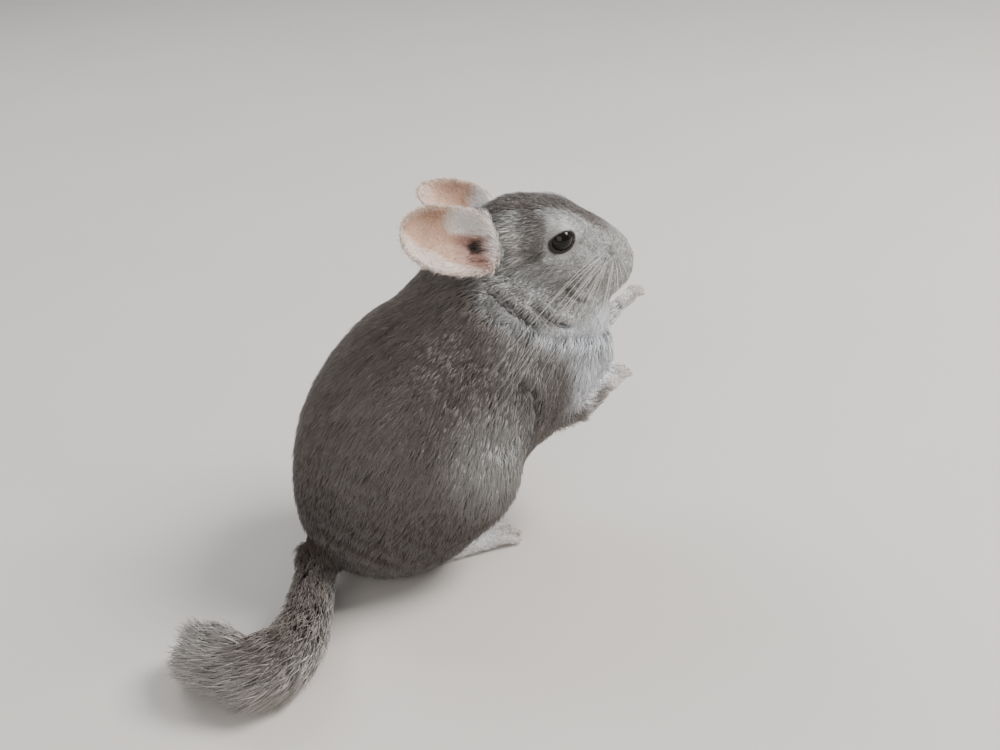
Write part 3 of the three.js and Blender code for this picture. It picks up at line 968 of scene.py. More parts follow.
def mesh_object(name: str, points: Array, faces: Array, sides: int = 3) -> bpy.types.Object:
    """An object from arrays.

    Args:
        name: The object's name.
        points: Its points in the body's frame.
        faces: Rows of corners, each as long as sides.
        sides: How many corners a face has.

    Returns:
        The object, linked into the scene.
    """
    mesh = bpy.data.meshes.new(name)
    mesh.vertices.add(len(points))
    mesh.vertices.foreach_set("co", to_metres(points).ravel())
    mesh.loops.add(faces.size)
    mesh.loops.foreach_set("vertex_index", faces.ravel())
    mesh.polygons.add(len(faces))
    mesh.polygons.foreach_set("loop_start", np.arange(0, faces.size, sides))
    mesh.polygons.foreach_set("use_smooth", np.ones(len(faces), bool))
    mesh.update(calc_edges=True)
    made = bpy.data.objects.new(name, mesh)
    bpy.context.scene.collection.objects.link(made)
    return made


def paint(mesh: bpy.types.Mesh, colours: Array) -> None:
    """Stores a colour at each point of a mesh.

    Args:
        mesh: The mesh.
        colours: A colour for each point.
    """
    layer = mesh.color_attributes.new(COLOUR, "FLOAT_COLOR", "POINT")
    rows = np.ones((len(colours), 4))
    rows[:, :3] = colours
    layer.data.foreach_set("color", rows.ravel())


def modified(shape: bpy.types.Object, kind: str, **settings: object) -> None:
    """Adds a modifier to an object and applies it.

    Args:
        shape: The object.
        kind: The modifier's type.
        settings: Its settings by name.
    """
    only(shape)
    modifier = shape.modifiers.new(kind.lower(), kind)
    for name, value in settings.items():
        setattr(modifier, name, value)
    bpy.ops.object.modifier_apply(modifier=modifier.name)


def ringed(rings: Array, ends: tuple[Array, Array]) -> tuple[Array, Array]:
    """A closed skin over rings of points with a point at either end.

    Args:
        rings: Points by ring, spoke and axis.
        ends: The first and the last point.

    Returns:
        Its points and triangles.
    """
    count, around = rings.shape[:2]
    points = np.vstack([ends[0][None], rings.reshape(-1, 3), ends[1][None]])
    spoke = np.arange(around)
    after = (spoke + 1) % around
    faces = [np.stack([np.zeros(around, int), 1 + after, 1 + spoke], axis=1)]
    for ring in range(count - 1):
        low, high = 1 + ring * around, 1 + (ring + 1) * around
        faces.append(np.stack([low + spoke, low + after, high + spoke], axis=1))
        faces.append(np.stack([low + after, high + after, high + spoke], axis=1))
    low, last = 1 + (count - 1) * around, len(points) - 1
    faces.append(np.stack([np.full(around, last), low + spoke, low + after], axis=1))
    return points, np.vstack(faces)


def tube(line: Array, radii: Array, around: int) -> tuple[Array, Array]:
    """A round tube along a line of points, closed by a point at either end.

    Args:
        line: The line's points.
        radii: The radius at each of them.
        around: How many sides it has.

    Returns:
        Its points and triangles.
    """
    tangents = unit(np.gradient(line, axis=0))
    level = np.array([0.0, 0.0, 1.0]) if abs(tangents[:, 2]).max() < 0.95 else np.array([0.0, 1.0, 0.0])
    side = unit(np.cross(level, tangents))
    top = np.cross(tangents, side)
    angle = np.linspace(0, 2 * math.pi, around, endpoint=False)[None, :, None]
    spokes = np.cos(angle) * side[:, None] + np.sin(angle) * top[:, None]
    rings = line[:, None] + radii[:, None, None] * spokes
    ends = (line[0] - tangents[0] * radii[0] * 0.4, line[-1] + tangents[-1] * radii[-1] * 0.4)
    return ringed(rings, ends)


# The skin


@dataclass(frozen=True)
class Fold:
    """A crease of the skin along a line, with the roll of skin that it makes below and painted shade in the
    crease.
    """

    line: tuple[tuple[float, float, float], ...]
    depth: float
    width: float
    on_head: bool = False
    # How strongly painted shade darkens the crease; the coat there is shorter by it too.
    dark: float = 0.7
    roll: float = 0.5

    def lines(self, tree: BVHTree) -> list[Array]:
        """Lays the fold's line on a form.

        Args:
            tree: The form, in metres.

        Returns:
            The line on each side of the animal, in the body's frame.
        """
        corners = np.array(self.line, float)
        found = []
        for flip in ([1, 1, 1], [1, -1, 1]):
            line = HEAD.outside(corners * flip) if self.on_head else corners * flip
            line = to_metres(smooth_line(line, 24))
            laid = np.array([tree.find_nearest(Vector(point))[0] for point in line])
            found.append(to_millimetres(laid))
        return found


FOLDS = (
    # Under the cheek
    Fold(((-15.4, -33.7, -25.1), (-9.8, -35.3, -30.8), (-4.1, -35.5, -35.1),
          (2.4, -34.1, -38.1), (9, -32.1, -40.4)), depth=3.6, width=3.4, on_head=True),
    # Down the neck
    Fold(((-44.3, -29.8, -16.9), (-32.8, -34.2, -19.4), (-25, -36.9, -26.1),
          (-17.5, -38.1, -32.5), (-9.7, -39.2, -40.1)), depth=3.6, width=3.6, on_head=True),
    # Below the cheek, towards the mouth
    Fold(((1.8, -25, -20.5), (9.7, -24.7, -28.4), (17.3, -21.4, -31.8)),
         depth=1.4, width=3.0, on_head=True, dark=0.3),
    # From the root of the ear to the eye
    Fold(((-30, -28.9, -15.3), (-22.8, -24.9, -12), (-14.3, -26.2, -7.1), (-6.7, -25, -3.5)),
         depth=1.2, width=3.0, on_head=True, dark=0.2),
    # Behind the arm
    Fold(((30, -43, 112), (37, -43, 104), (40, -43, 91), (38, -40, 76)), depth=3.0, width=4.5, dark=0.45),
    # Round the foot of the rump
    Fold(((-74, -17, 51), (-63, -35, 43), (-46.5, -45, 32), (-34, -48, 22)), depth=1.6, width=4.0, dark=0.2),
)


@dataclass(frozen=True)
class Cut:
    """A thin cut of the muzzle along a line of the head's frame."""

    line: tuple[tuple[float, float, float], ...]
    depth: float
    width: float
    count: int = 12
    both_sides: bool = False

    def lines(self) -> list[Array]:
        """The cut's line, after its mirror image where it has one."""
        flips = ([1, -1, 1], [1, 1, 1]) if self.both_sides else ([1, 1, 1],)
        return [smooth_line(np.array(self.line) * flip, self.count) for flip in flips]


MOUTH = Cut(((31, -9, -29.5), (36, -6, -28.5), (39, 0, -27), (36, 6, -28.5), (31, 9, -29.5)), 1.5, 1.1, 30)
LIP_SPLIT = Cut(((41, 0, -17), (41, 0, -22), (39.5, 0, -27)), 0.9, 0.9)
NOSTRILS = Cut(((41, 1.6, -15), (40.5, 3.4, -12.8), (38, 4.6, -11.6)), 1.5, 0.9, both_sides=True)
MOUTH_CORNERS = Cut(((31, 9, -29.5), (26, 11, -31), (21, 12, -31.5)), 1.3, 1.2, both_sides=True)


@dataclass
class Skin:
    """One closed skin from nose to tail, under the coat by its depth."""

    voxel: float = 1.75
    paw_voxel: float = 0.75
    smoothing: int = 8
    paw_smoothing: int = 3
    swell: float = 0.35
    coat_depth: float = 4.5
    lid: float = 0.9

    flesh = ("head", "neck", "torso", "hind_leg_right", "hind_leg_left", "foreleg_right", "foreleg_left",
             "eye_right", "eye_left")
    paws = ("forepaw_right", "forepaw_left", "hind_foot_right", "hind_foot_left")

    def copied(self, names: Iterable[str], grow: float, name: str) -> bpy.types.Object:
        """Copies solids as one object.

        Args:
            names: The nodes of the solids.
            grow: How far each is pushed out.
            name: The object's name.

        Returns:
            The object.
        """
        made = []
        for node in names:
            twin = frame["nodes"][node].copy()
            twin.data = twin.data.copy()
            twin.parent = None
            bpy.context.scene.collection.objects.link(twin)
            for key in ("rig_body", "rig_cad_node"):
                if key in twin:
                    del twin[key]
            work = bmesh.new()
            work.from_mesh(twin.data)
            bmesh.ops.remove_doubles(work, verts=work.verts, dist=1e-6)
            work.normal_update()
            for vertex in work.verts:
                vertex.co += vertex.normal * grow / 1000
            work.to_mesh(twin.data)
            work.free()
            twin.data.materials.clear()
            made.append(twin)
        only(*made)
        bpy.ops.object.join()
        made[0].name = name
        return made[0]

    def body(self) -> bpy.types.Object:
        """Joins head, trunk, legs and the tail's core.

        Returns:
            One smooth form.
        """
        body = self.copied(self.flesh, self.swell, "skin")
        stretch = slice(8, TAIL.core_end)
        core = mesh_object("tail_core", *tube(TAIL.points[stretch], TAIL.core[stretch], 16))
        only(body, core)
        bpy.ops.object.join()
        modified(body, "REMESH", mode="VOXEL", voxel_size=self.voxel / 1000)
        modified(body, "SMOOTH", factor=0.5, iterations=self.smoothing)
        return body

    def paw(self, node: str) -> bpy.types.Object:
        """A smooth paw or foot.

        Args:
            node: The node of its solid.

        Returns:
            The paw.
        """
        paw = self.copied([node], 0.0, node + "_skin")
        modified(paw, "REMESH", mode="VOXEL", voxel_size=self.paw_voxel / 1000)
        modified(paw, "SMOOTH", factor=0.5, iterations=self.paw_smoothing)
        return paw

    def depth(self, points: Array) -> Array:
        """How far the skin lies under the surface of the coat.

        Args:
            points: Rows of X, Y and Z in the body's frame.

        Returns:
            The depth at each point.
        """
        local = HEAD.inside(points)
        x, y, z = local.T
        face = ramp(-34, 6, x) * ramp(-52, -30, z + 0.3 * x) * ramp(70, 45, np.linalg.norm(local, axis=1))
        deep = self.coat_depth * (1 - face) + 1.7 * face
        muzzle = ramp(4, 26, x) * face
        deep = deep * (1 - muzzle) + 0.8 * muzzle
        for eye in EYES:
            near = ramp(16, 9, np.linalg.norm(points - eye.centre, axis=1))
            deep = deep * (1 - near) + 0.7 * near
        for line in ARM_LINES.values():
            away, share = along_line(points, line)
            near = ramp(16, 10, away) * ramp(0.2, 0.5, share)
            deep = deep * (1 - near) + (2.0 - 1.2 * share) * near
        off, near = TAIL.depth(points)
        deep = deep * (1 - ramp(5, 1.5, off) * ramp(14, 22, near.astype(float)))
        return deep * ramp(-1.0, 5.0, points[:, 2])

    def finer(self, skin: bpy.types.Object, wanted: Callable[[Array], Array]) -> None:
        """Splits the faces whose middle is wanted.

        Args:
            skin: The skin.
            wanted: Says which of the faces' middles are wanted.
        """
        work = bmesh.new()
        work.from_mesh(skin.data)
        middles = to_millimetres(np.array([face.calc_center_median() for face in work.faces]))
        chosen = wanted(middles)
        edges = {edge for face, take in zip(work.faces, chosen) if take for edge in face.edges}
        bmesh.ops.subdivide_edges(work, edges=list(edges), cuts=1, use_grid_fill=True, smooth=0.0)
        bmesh.ops.triangulate(work, faces=work.faces)
        work.to_mesh(skin.data)
        work.free()

    def sculpt(self, skin: bpy.types.Object, markings: Markings) -> None:
        """Lowers the skin under the coat and shapes folds, lids, nose and mouth.

        Args:
            skin: The skin.
            markings: Given the lines of the folds, which are darker with painted shade.
        """
        points = corners_of(skin.data)
        triangles = triangles_of(skin.data)[0]
        normals = normals_of(points, triangles)
        points = points - normals * self.depth(points)[:, None]
        tree = BVHTree.FromPolygons(to_metres(points).tolist(), triangles.tolist())
        for fold in FOLDS:
            for line in fold.lines(tree):
                markings.creases.append((line, fold.dark))
                away, share = along_line(points, line)
                ends = ramp(0, 0.18, share) * ramp(1, 0.82, share)
                crease = np.exp(-((away / (fold.width * 0.45)) ** 2)) * fold.depth
                roll = np.exp(-(((away - fold.width) / (fold.width * 0.6)) ** 2)) * fold.depth * fold.roll
                points = points + normals * ((roll - crease) * ends)[:, None]
        points = self.muzzle(points, normals)
        for eye in EYES:
            points = self.lids(points, eye)
        points[:, 2] = np.maximum(points[:, 2], 0.15)
        set_corners(skin.data, points)

    def muzzle(self, points: Array, normals: Array) -> Array:
        """Cuts nostrils, the split of the lip and the line of the mouth.

        Args:
            points: The skin's points.
            normals: Their normals.

        Returns:
            The moved points.
        """
        local = HEAD.inside(points)
        front = ramp(14, 22, local[:, 0])
        move = np.zeros(len(points))
        for cut in (MOUTH, LIP_SPLIT, NOSTRILS, MOUTH_CORNERS):
            for line in cut.lines():
                away = along_line(local, line)[0]
                move -= cut.depth * np.exp(-((away / cut.width) ** 2))
                move += 0.35 * cut.depth * np.exp(-(((away - 2.2 * cut.width) / cut.width) ** 2))
        return points + normals * (move * front)[:, None]

    def lids(self, points: Array, eye: EyePlace) -> Array:
        """Lays lids over the eyeball round its almond-shaped opening, with the socket behind.

        Args:
            points: The skin's points.
            eye: The eye.

        Returns:
            The moved points.
        """
        around, out = eye.around(points)
        off = points - eye.centre
        reach = np.linalg.norm(off, axis=1)
        near = (reach < eye.radius + 7) & (out > -1)
        lid = eye.radius + self.lid * ramp(0.98, 1.12, around) + 0.1
        wanted = np.where(around < 0.98, eye.radius - 3.0, lid)
        blend = ramp(1.75, 1.25, around) * near
        new = reach + (wanted - reach) * blend
        return eye.centre + off * (new / np.maximum(reach, 1e-6))[:, None]

    def ear(self, place: EarPlace) -> bpy.types.Object:
        """A pinna with its root, closed.

        Args:
            place: The ear.

        Returns:
            The pinna.
        """
        around, rings = 96, 24
        angle = np.linspace(0, 2 * math.pi, around, endpoint=False)
        rounded = [np.sign(f(angle)) * np.abs(f(angle)) ** place.roundness for f in (np.cos, np.sin)]
        steps = list(np.linspace(0, 1, rings + 1)[1:])
        faces = [(r, 1.0) for r in steps[:-1]] + [(1.0, 0.0)] + [(r, -1.0) for r in steps[-2::-1]]
        sheet = np.stack([place.sheet(-rounded[0] * r, rounded[1] * r, face) for r, face in faces])
        ends = tuple(place.sheet(np.zeros(1), np.zeros(1), face)[0] for face in (1.0, -1.0))
        points, triangles = ringed(sheet, ends)
        pinna = mesh_object(f"ear_{place.side.word}_skin", place.outside(points), triangles)
        bpy.ops.object.select_all(action="DESELECT")
        bpy.ops.mesh.primitive_uv_sphere_add(segments=40, ring_count=24, radius=1.0)
        bulb = bpy.context.object
        ball = np.array([v.co for v in bulb.data.vertices]) * place.bulb_radius
        set_corners(bulb.data, HEAD.outside(ball + place.bulb))
        self.unite(pinna, bulb)
        return pinna

    def unite(self, body: bpy.types.Object, part: bpy.types.Object) -> None:
        """Joins a closed part to a closed body and deletes the part.

        Args:
            body: The body.
            part: The part.
        """
        for each in (body, part):
            work = bmesh.new()
            work.from_mesh(each.data)
            bmesh.ops.recalc_face_normals(work, faces=work.faces)
            work.to_mesh(each.data)
            work.free()
        modified(body, "BOOLEAN", operation="UNION", solver="MANIFOLD", object=part)
        bpy.data.objects.remove(part)

    def settle(self, skin: bpy.types.Object) -> None:
        """Softens the skin where ears and paws grow out of it.

        Args:
            skin: The skin.
        """
        points = corners_of(skin.data)
        weight = np.zeros(len(points))
        for ear in EARS.values():
            local = ear.inside(points)
            root = np.linalg.norm(local - [4, 0, -8], axis=1)
            weight = np.maximum(weight, ramp(20, 13, root) * ramp(8, 3, local[:, 0]))
        for paw in PAWS.values():
            weight = np.maximum(weight, ramp(9, 5, np.linalg.norm(points - np.array(paw.palm), axis=1)))
        group = skin.vertex_groups.new(name="joins")
        for step in range(1, 6):
            chosen = np.nonzero((weight > (step - 0.5) / 5) & (weight <= (step + 0.5) / 5))[0]
            if len(chosen):
                group.add(chosen.tolist(), step / 5, "REPLACE")
        modified(skin, "SMOOTH", factor=0.5, iterations=6, vertex_group="joins")

    def unwrap(self, skin: bpy.types.Object) -> None:
        """Lays the skin out flat by its own shape.

        Args:
            skin: The skin.
        """
        only(skin)
        bpy.ops.object.mode_set(mode="EDIT")
        bpy.ops.mesh.select_all(action="SELECT")
        bpy.ops.uv.smart_project(angle_limit=math.radians(72), island_margin=0.004)
        bpy.ops.object.mode_set(mode="OBJECT")
        skin.data.uv_layers[0].name = BAKE_MAP

    def build(self, markings: Markings) -> bpy.types.Object:
        """Makes the skin, dresses it and puts it in the nodes' place.

        Args:
            markings: Its colours.

        Returns:
            The skin.
        """
        skin = self.body()
        self.finer(skin, self.wants_care)
        self.finer(skin, self.wants_detail)
        self.sculpt(skin, markings)
        for node in self.paws:
            self.unite(skin, self.paw(node))
        for ear in EARS.values():
            self.unite(skin, self.ear(ear))
        self.settle(skin)
        work = bmesh.new()
        work.from_mesh(skin.data)
        bmesh.ops.triangulate(work, faces=work.faces)
        work.to_mesh(skin.data)
        work.free()
        self.unwrap(skin)
        skin.data.polygons.foreach_set("use_smooth", np.ones(len(skin.data.polygons), bool))
        paint(skin.data, markings.colour(corners_of(skin.data)) * 0.85)
        finish = PaintedFinish("skin", 0.6, grain=900, contrast=0.18, relief=0.5, scatter=0.12)
        skin.data.materials.clear()
        skin.data.materials.append(finish.material())
        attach(skin, "root")
        tail = ("tail_base", "tail_middle", "tail_tip")
        flesh = [node for node in self.flesh if not node.startswith("eye")]
        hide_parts(*flesh, *self.paws, "ear_right", "ear_left", *tail)
        LOG.info("skin: %d triangles", len(skin.data.polygons))
        return skin

    def wants_care(self, middle: Array) -> Array:
        """Which places need finer faces: the face and the folds of the neck.

        Args:
            middle: Places in the body's frame.

        Returns:
            Which of them do.
        """
        local = HEAD.inside(middle)
        fold = (np.linalg.norm(local * [1, 0, 1] - [-14, 0, -30], axis=1) < 34) & (np.abs(local[:, 1]) > 20)
        return fold | (local[:, 0] > 8) & (local[:, 2] > -48)

    def wants_detail(self, middle: Array) -> Array:
        """Which places of the face need the finest faces.

        Args:
            middle: Places in the body's frame.

        Returns:
            Which of them do.
        """
        local = HEAD.inside(middle)
        nose = (local[:, 0] > 28) & (local[:, 2] > -38)
        mouth = (local[:, 0] > 17) & (np.abs(local[:, 2] + 30) < 5)
        eyes = np.zeros(len(middle), bool)
        for eye in EYES:
            eyes |= np.linalg.norm(middle - eye.centre, axis=1) < 12
        return nose | mouth | eyes


# The coat


@dataclass
class Ground:
    """Places on the skin that tufts grow from."""

    points: Array
    normals: Array
    bake: Array

    def __len__(self) -> int:
        """How many places there are."""
        return len(self.points)


class Lie:
    """The way the coat lies: it follows guides on the body and the line of the tail."""

    GUIDES_ON_HEAD = (
        ((39, 0, -12), (-0.5, 0, 0.85)),
        ((27, 0, -2), (-0.9, 0, 0.35)),
        ((5, 0, 10), (-1, 0, 0.15)),
        ((-25, 0, 15), (-0.95, 0, -0.2)),
        ((-40, 0, 0), (-0.7, 0, -0.7)),
        ((26, 14, -18), (-0.95, 0.2, -0.15)),
        ((22, 13, -6), (-0.9, 0.3, 0.2)),
        ((8, 21, -8), (-0.98, 0.1, -0.1)),
        ((0, 19, 9), (-0.9, 0.1, 0.3)),
        ((0, 25, -16), (-0.95, 0, -0.35)),
        ((-18, 26, 0), (-0.9, 0.1, -0.25)),
        ((-20, 30, -20), (-0.8, 0, -0.6)),
        ((10, 18, -36), (-0.8, 0.1, -0.6)),
        ((30, 8, -34), (-0.7, 0.2, -0.7)),
        ((24, 0, -44), (-0.8, 0, -0.6)),
    )
    GUIDES_ON_BODY = (
        ((-5, 0, 150), (-0.7, 0, -0.6)),
        ((-45, 0, 128), (-0.6, 0, -0.8)),
        ((-75, 0, 80), (-0.2, 0, -1)),
        ((-72, 0, 30), (-0.3, 0, -0.9)),
        ((20, 34, 140), (-0.75, 0, -0.65)),
        ((50, 34, 130), (-0.6, 0, -0.8)),
        ((0, 50, 110), (-0.7, 0, -0.7)),
        ((-15, 56, 75), (-0.6, 0, -0.8)),
        ((-50, 46, 50), (-0.6, 0, -0.8)),
        ((5, 60, 60), (-0.35, 0, -0.93)),
        ((20, 54, 30), (-0.1, 0, -1)),
        ((-20, 55, 25), (-0.5, 0, -0.8)),
        ((50, 40, 100), (-0.45, 0, -0.9)),
        ((92, 0, 100), (-0.05, 0, -1)),
        ((85, 24, 110), (-0.2, 0, -1)),
        ((70, 0, 66), (-0.5, 0, -0.8)),
        ((40, 0, 40), (-0.4, 0, -0.9)),
        ((20, 0, 12), (-0.9, 0, -0.3)),
        ((20, 19, 9), (1, 0, -0.2)),
        ((-10, 19, 11), (1, 0, 0)),
    )

    def __init__(self) -> None:
        """Gathers the guides of both sides."""
        places, ways = [], []
        for place, way in self.GUIDES_ON_HEAD:
            for side in (1, -1):
                flip = np.array([1, side, 1])
                places.append(HEAD.outside(np.array([place]) * flip)[0])
                ways.append(HEAD.turn_out(np.array(way) * flip))
        for place, way in self.GUIDES_ON_BODY:
            for side in (1, -1):
                flip = np.array([1, side, 1])
                places.append(np.array(place) * flip)
                ways.append(np.array(way) * flip)
        self.places, self.ways = np.array(places, float), unit(np.array(ways, float))

    def at(self, ground: Ground) -> Array:
        """The way the coat lies at places on the skin, flat against it.

        Args:
            ground: The places.

        Returns:
            A direction of length one at each place.
        """
        away = np.linalg.norm(ground.points[:, None] - self.places[None], axis=2)
        weight = 1.0 / (away**3 + 40.0)
        way = unit(weight @ self.ways)
        for side, line in ARM_LINES.items():
            off, share = along_line(ground.points, line)
            way = mix(way, unit(line[-1] - line[1]), ramp(17, 11, off) * ramp(0.1, 0.4, share))
            paw = PAWS[side]
            way = mix(way, paw.axes[:, 0], paw.holds(ground.points).astype(float))
        behind = ground.points[:, 0] < -60
        if behind.any():
            off, near = TAIL.depth(ground.points[behind])
            on_tail = ramp(9, 3, off) * ramp(12, 20, near.astype(float))
            way[behind] = mix(way[behind], TAIL.tangents[near], on_tail)
        for ear in EARS.values():
            on_ear = ear.holds(ground.points).astype(float)
            along, across, _ = ear.spread(ground.points)
            outward = unit(ear.axes[:, 0] + across[:, None] * 0.9 * ear.axes[:, 1])
            way = mix(way, outward, on_ear)
        flat = way - ground.normals * (way * ground.normals).sum(1, keepdims=True)
        return unit(flat)


@dataclass(frozen=True)
class Fur:
    """How the tufts of one stretch of the coat are made."""

    name: str
    length: float
    width: float
    rise: float
    clump: float = 0.24
    clump_gap: float = 4.5
    stations: tuple[float, ...] = (0.0, 0.5)
    spread: float = 0.22
    pale_tips: float = 1.2
    dark_roots: float = 0.72
    flat: float = 0.4
    speckle: float = 0.1


@dataclass
class Coat:
    """Grows the tufts of the coat on the skin."""

    skin: bpy.types.Object
    markings: Markings
    seed: int = 20
    trunk_tufts: int = 77500
    quick_trunk_tufts: int = 42000
    half_head_tufts: int = 15000
    tail_base_tufts: int = 5500
    tail_brush_tufts: int = 8500
    forepaw_tufts: int = 2500
    foot_tufts: int = 4500
    ear_back_tufts: int = 4500
    ear_rim_tufts: int = 6500

    def __post_init__(self) -> None:
        """Reads the skin."""
        mesh = self.skin.data
        self.points = corners_of(mesh)
        self.triangles, loops = triangles_of(mesh)
        self.normals = normals_of(self.points, self.triangles)
        bake = np.empty(len(mesh.loops) * 2)
        mesh.uv_layers[BAKE_MAP].data.foreach_get("uv", bake)
        self.bake = bake.reshape(-1, 2)[loops]
        a, b, c = (self.points[self.triangles[:, i]] for i in range(3))
        self.area = np.linalg.norm(np.cross(b - a, c - a), axis=1) / 2
        self.middles = (a + b + c) / 3
        self.middle_normals = unit(np.cross(b - a, c - a))
        self.lie = Lie()
        finish = PaintedFinish("fur", 0.75, grain=1400, contrast=0.22, sheen=0.25, specular=0.2)
        self.finish = finish.material()
        self.random = np.random.default_rng(self.seed)

    def sow(self, density: Array, count: int) -> Ground:
        """Scatters places over the skin.

        Args:
            density: How thick they lie on each triangle, against the others.
            count: How many to lay.

        Returns:
            The places.
        """
        weight = self.area * density
        chosen = self.random.choice(len(weight), count, p=weight / weight.sum())
        share = np.sqrt(self.random.random(count))
        other = self.random.random(count)
        mixes = np.stack([1 - share, share * (1 - other), share * other], axis=1)
        corners = self.triangles[chosen]
        points = (self.points[corners] * mixes[..., None]).sum(1)
        normals = unit((self.normals[corners] * mixes[..., None]).sum(1))
        bake = (self.bake[chosen] * mixes[..., None]).sum(1)
        return Ground(points, normals, bake)

    def grow(self, fur: Fur, ground: Ground, scale: Array | None = None) -> bpy.types.Object:
        """Makes one piece of the coat.

        Args:
            fur: How its tufts are made.
            ground: Where they grow.
            scale: The size of each tuft against the others.

        Returns:
            The piece.
        """
        draw = self.random
        count = len(ground)
        scale = np.ones(count) if scale is None else scale
        way = self.lie.at(ground)
        side = np.cross(ground.normals, way)
        sway = draw.normal(0, fur.spread, count)[:, None]
        way = unit(way + side * sway)
        side = np.cross(ground.normals, way)
        length = fur.length * scale * draw.uniform(0.75, 1.2, count)
        rise = fur.rise * scale * draw.uniform(0.6, 1.25, count)
        width = fur.width * np.sqrt(scale) * draw.uniform(0.75, 1.25, count)
        tip = ground.points + way * length[:, None] * 0.95 + ground.normals * rise[:, None]
        pull, tone = self.clumps(ground.points, tip, fur)
        rings = []
        for t in fur.stations:
            middle = self.station(ground, way, length, rise, pull, t)
            half = (width / 2 * (1 - 0.35 * t))[:, None]
            thick = half * fur.flat * 2
            corners = (middle - side * half, middle + side * half, middle + ground.normals * thick)
            rings.append(np.stack(corners, axis=1))
        point = self.station(ground, way, length, rise, pull, 1.0)[:, None]
        vertices = np.concatenate([*rings, point], axis=1)
        vertices[..., 2] = np.maximum(vertices[..., 2], 0.1)
        piece = mesh_object(fur.name, vertices.reshape(-1, 3), self.faces(count, len(fur.stations)))
        self.dress(piece, fur, ground, tone)
        return piece

    def station(self, ground: Ground, way: Array, length: Array, rise: Array, pull: Array, t: float) -> Array:
        """The middle of the tufts at a share of their length.

        Args:
            ground: Where they grow.
            way: The way each lies.
            length: The length of each.
            rise: How far each tip stands off the skin.
            pull: How far each tip is drawn aside.
            t: The share, from 0 at the root to 1 at the tip.

        Returns:
            The middle of each tuft.
        """
        forward = length * (0.25 * t + 0.7 * t * t)
        height = rise * (1 - (1 - t) ** 2) - 0.5 * (1 - t)
        return ground.points + way * forward[:, None] + ground.normals * height[:, None] + pull * t * t

    def clumps(self, roots: Array, tips: Array, fur: Fur) -> tuple[Array, Array]:
        """Gathers tufts into clumps.

        Args:
            roots: Where the tufts grow.
            tips: Where they end.
            fur: How they are made.

        Returns:
            How far each tip is drawn to its clump's middle, and the tone of its clump.
        """
        count = max(int(len(roots) / (fur.clump_gap**2 * self.thickness(roots))), 8)
        middles = self.random.choice(len(roots), min(count, len(roots)), replace=False)
        tree = KDTree(len(middles))
        for i, chosen in enumerate(middles):
            tree.insert(Vector(roots[chosen]), i)
        tree.balance()
        nearest = np.array([tree.find(Vector(root))[1] for root in roots])
        tone = self.random.normal(1, 0.08, len(middles))[nearest]
        pull = (tips[middles][nearest] - tips) * fur.clump
        far = np.linalg.norm(pull, axis=1, keepdims=True)
        return pull * np.minimum(1, 0.5 * fur.length / np.maximum(far, 1e-6)), tone

    def thickness(self, roots: Array) -> float:
        """How thick tufts grow.

        Args:
            roots: Where they grow.

        Returns:
            Tufts to a square millimetre, about.
        """
        sample = roots[:: max(len(roots) // 400, 1)]
        tree = KDTree(len(roots))
        for i, root in enumerate(roots):
            tree.insert(Vector(root), i)
        tree.balance()
        counts = [len(tree.find_range(Vector(p), 3.0)) for p in sample]
        return max(float(np.median(counts)) / (math.pi * 9.0), 0.02)

    def faces(self, count: int, rings: int) -> Array:
        """The triangles of tufts with three sides, closed at the root.

        Args:
            count: How many tufts there are.
            rings: How many rings of corners each has below its tip.

        Returns:
            Rows of three corners.
        """
        pattern = [(0, 2, 1)]
        for ring in range(rings - 1):
            low, high = ring * 3, ring * 3 + 3
            for i in range(3):
                j = (i + 1) % 3
                pattern += [(low + i, low + j, high + i), (low + j, high + j, high + i)]
        low, tip = (rings - 1) * 3, rings * 3
        pattern += [(low + i, low + (i + 1) % 3, tip) for i in range(3)]
        size = rings * 3 + 1
        return (np.array(pattern)[None] + (np.arange(count) * size)[:, None, None]).reshape(-1, 3)

    def dress(self, piece: bpy.types.Object, fur: Fur, ground: Ground, tone: Array) -> None:
        """Gives a piece its colours, its bake map and its place in the model.

        Args:
            piece: The piece.
            fur: How its tufts are made.
            ground: Where they grow.
            tone: How light each is against the others.
        """
        count, rings = len(ground), len(fur.stations)
        base = self.markings.colour(ground.points) * tone[:, None]
        base *= np.exp(self.random.normal(0, fur.speckle, count))[:, None]
        shares = [*fur.stations, 1.0]
        rows = []
        for i, t in enumerate(shares):
            light = fur.dark_roots + (fur.pale_tips - fur.dark_roots) * t**0.8
            rows += [np.clip(base * light, 0, 1)] * (3 if i < rings else 1)
        paint(piece.data, np.stack(rows, axis=1).reshape(-1, 3))
        patch = np.zeros((rings * 3 + 1, 2))
        for ring in range(rings):
            patch[ring * 3 : ring * 3 + 3] = [(-0.0013, 0), (0.0013, 0), (0, 0.0004)]
            patch[ring * 3 : ring * 3 + 3, 1] += BAKE_PATCH * fur.stations[ring] - BAKE_PATCH / 2
        patch[-1] = (0, BAKE_PATCH / 2)
        corners = (ground.bake[:, None] + patch[None]).reshape(-1, 2)
        order = np.empty(len(piece.data.loops), int)
        piece.data.loops.foreach_get("vertex_index", order)
        layer = piece.data.uv_layers.new(name=BAKE_MAP)
        layer.data.foreach_set("uv", np.clip(corners[order], 0, 1).ravel())
        piece.data.materials.append(self.finish)
        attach(piece, "root")
        LOG.info("%s: %d tufts, %d triangles", fur.name, count, len(piece.data.polygons))

    def bare(self, points: Array) -> Array:
        """Which places have no tufts: eyes, lids, nose, soles and whatever rests on the floor.

        Args:
            points: Rows of X, Y and Z in the body's frame.

        Returns:
            Which of them have none.
        """
        local = HEAD.inside(points)
        out = points[:, 2] < 0.6
        nose = np.linalg.norm((local - [40, 0, -13]) * [0.8, 0.9, 1.0], axis=1) < 4.0
        out |= nose
        for eye in EYES:
            out |= eye.rim(points) < 1.16
        return out

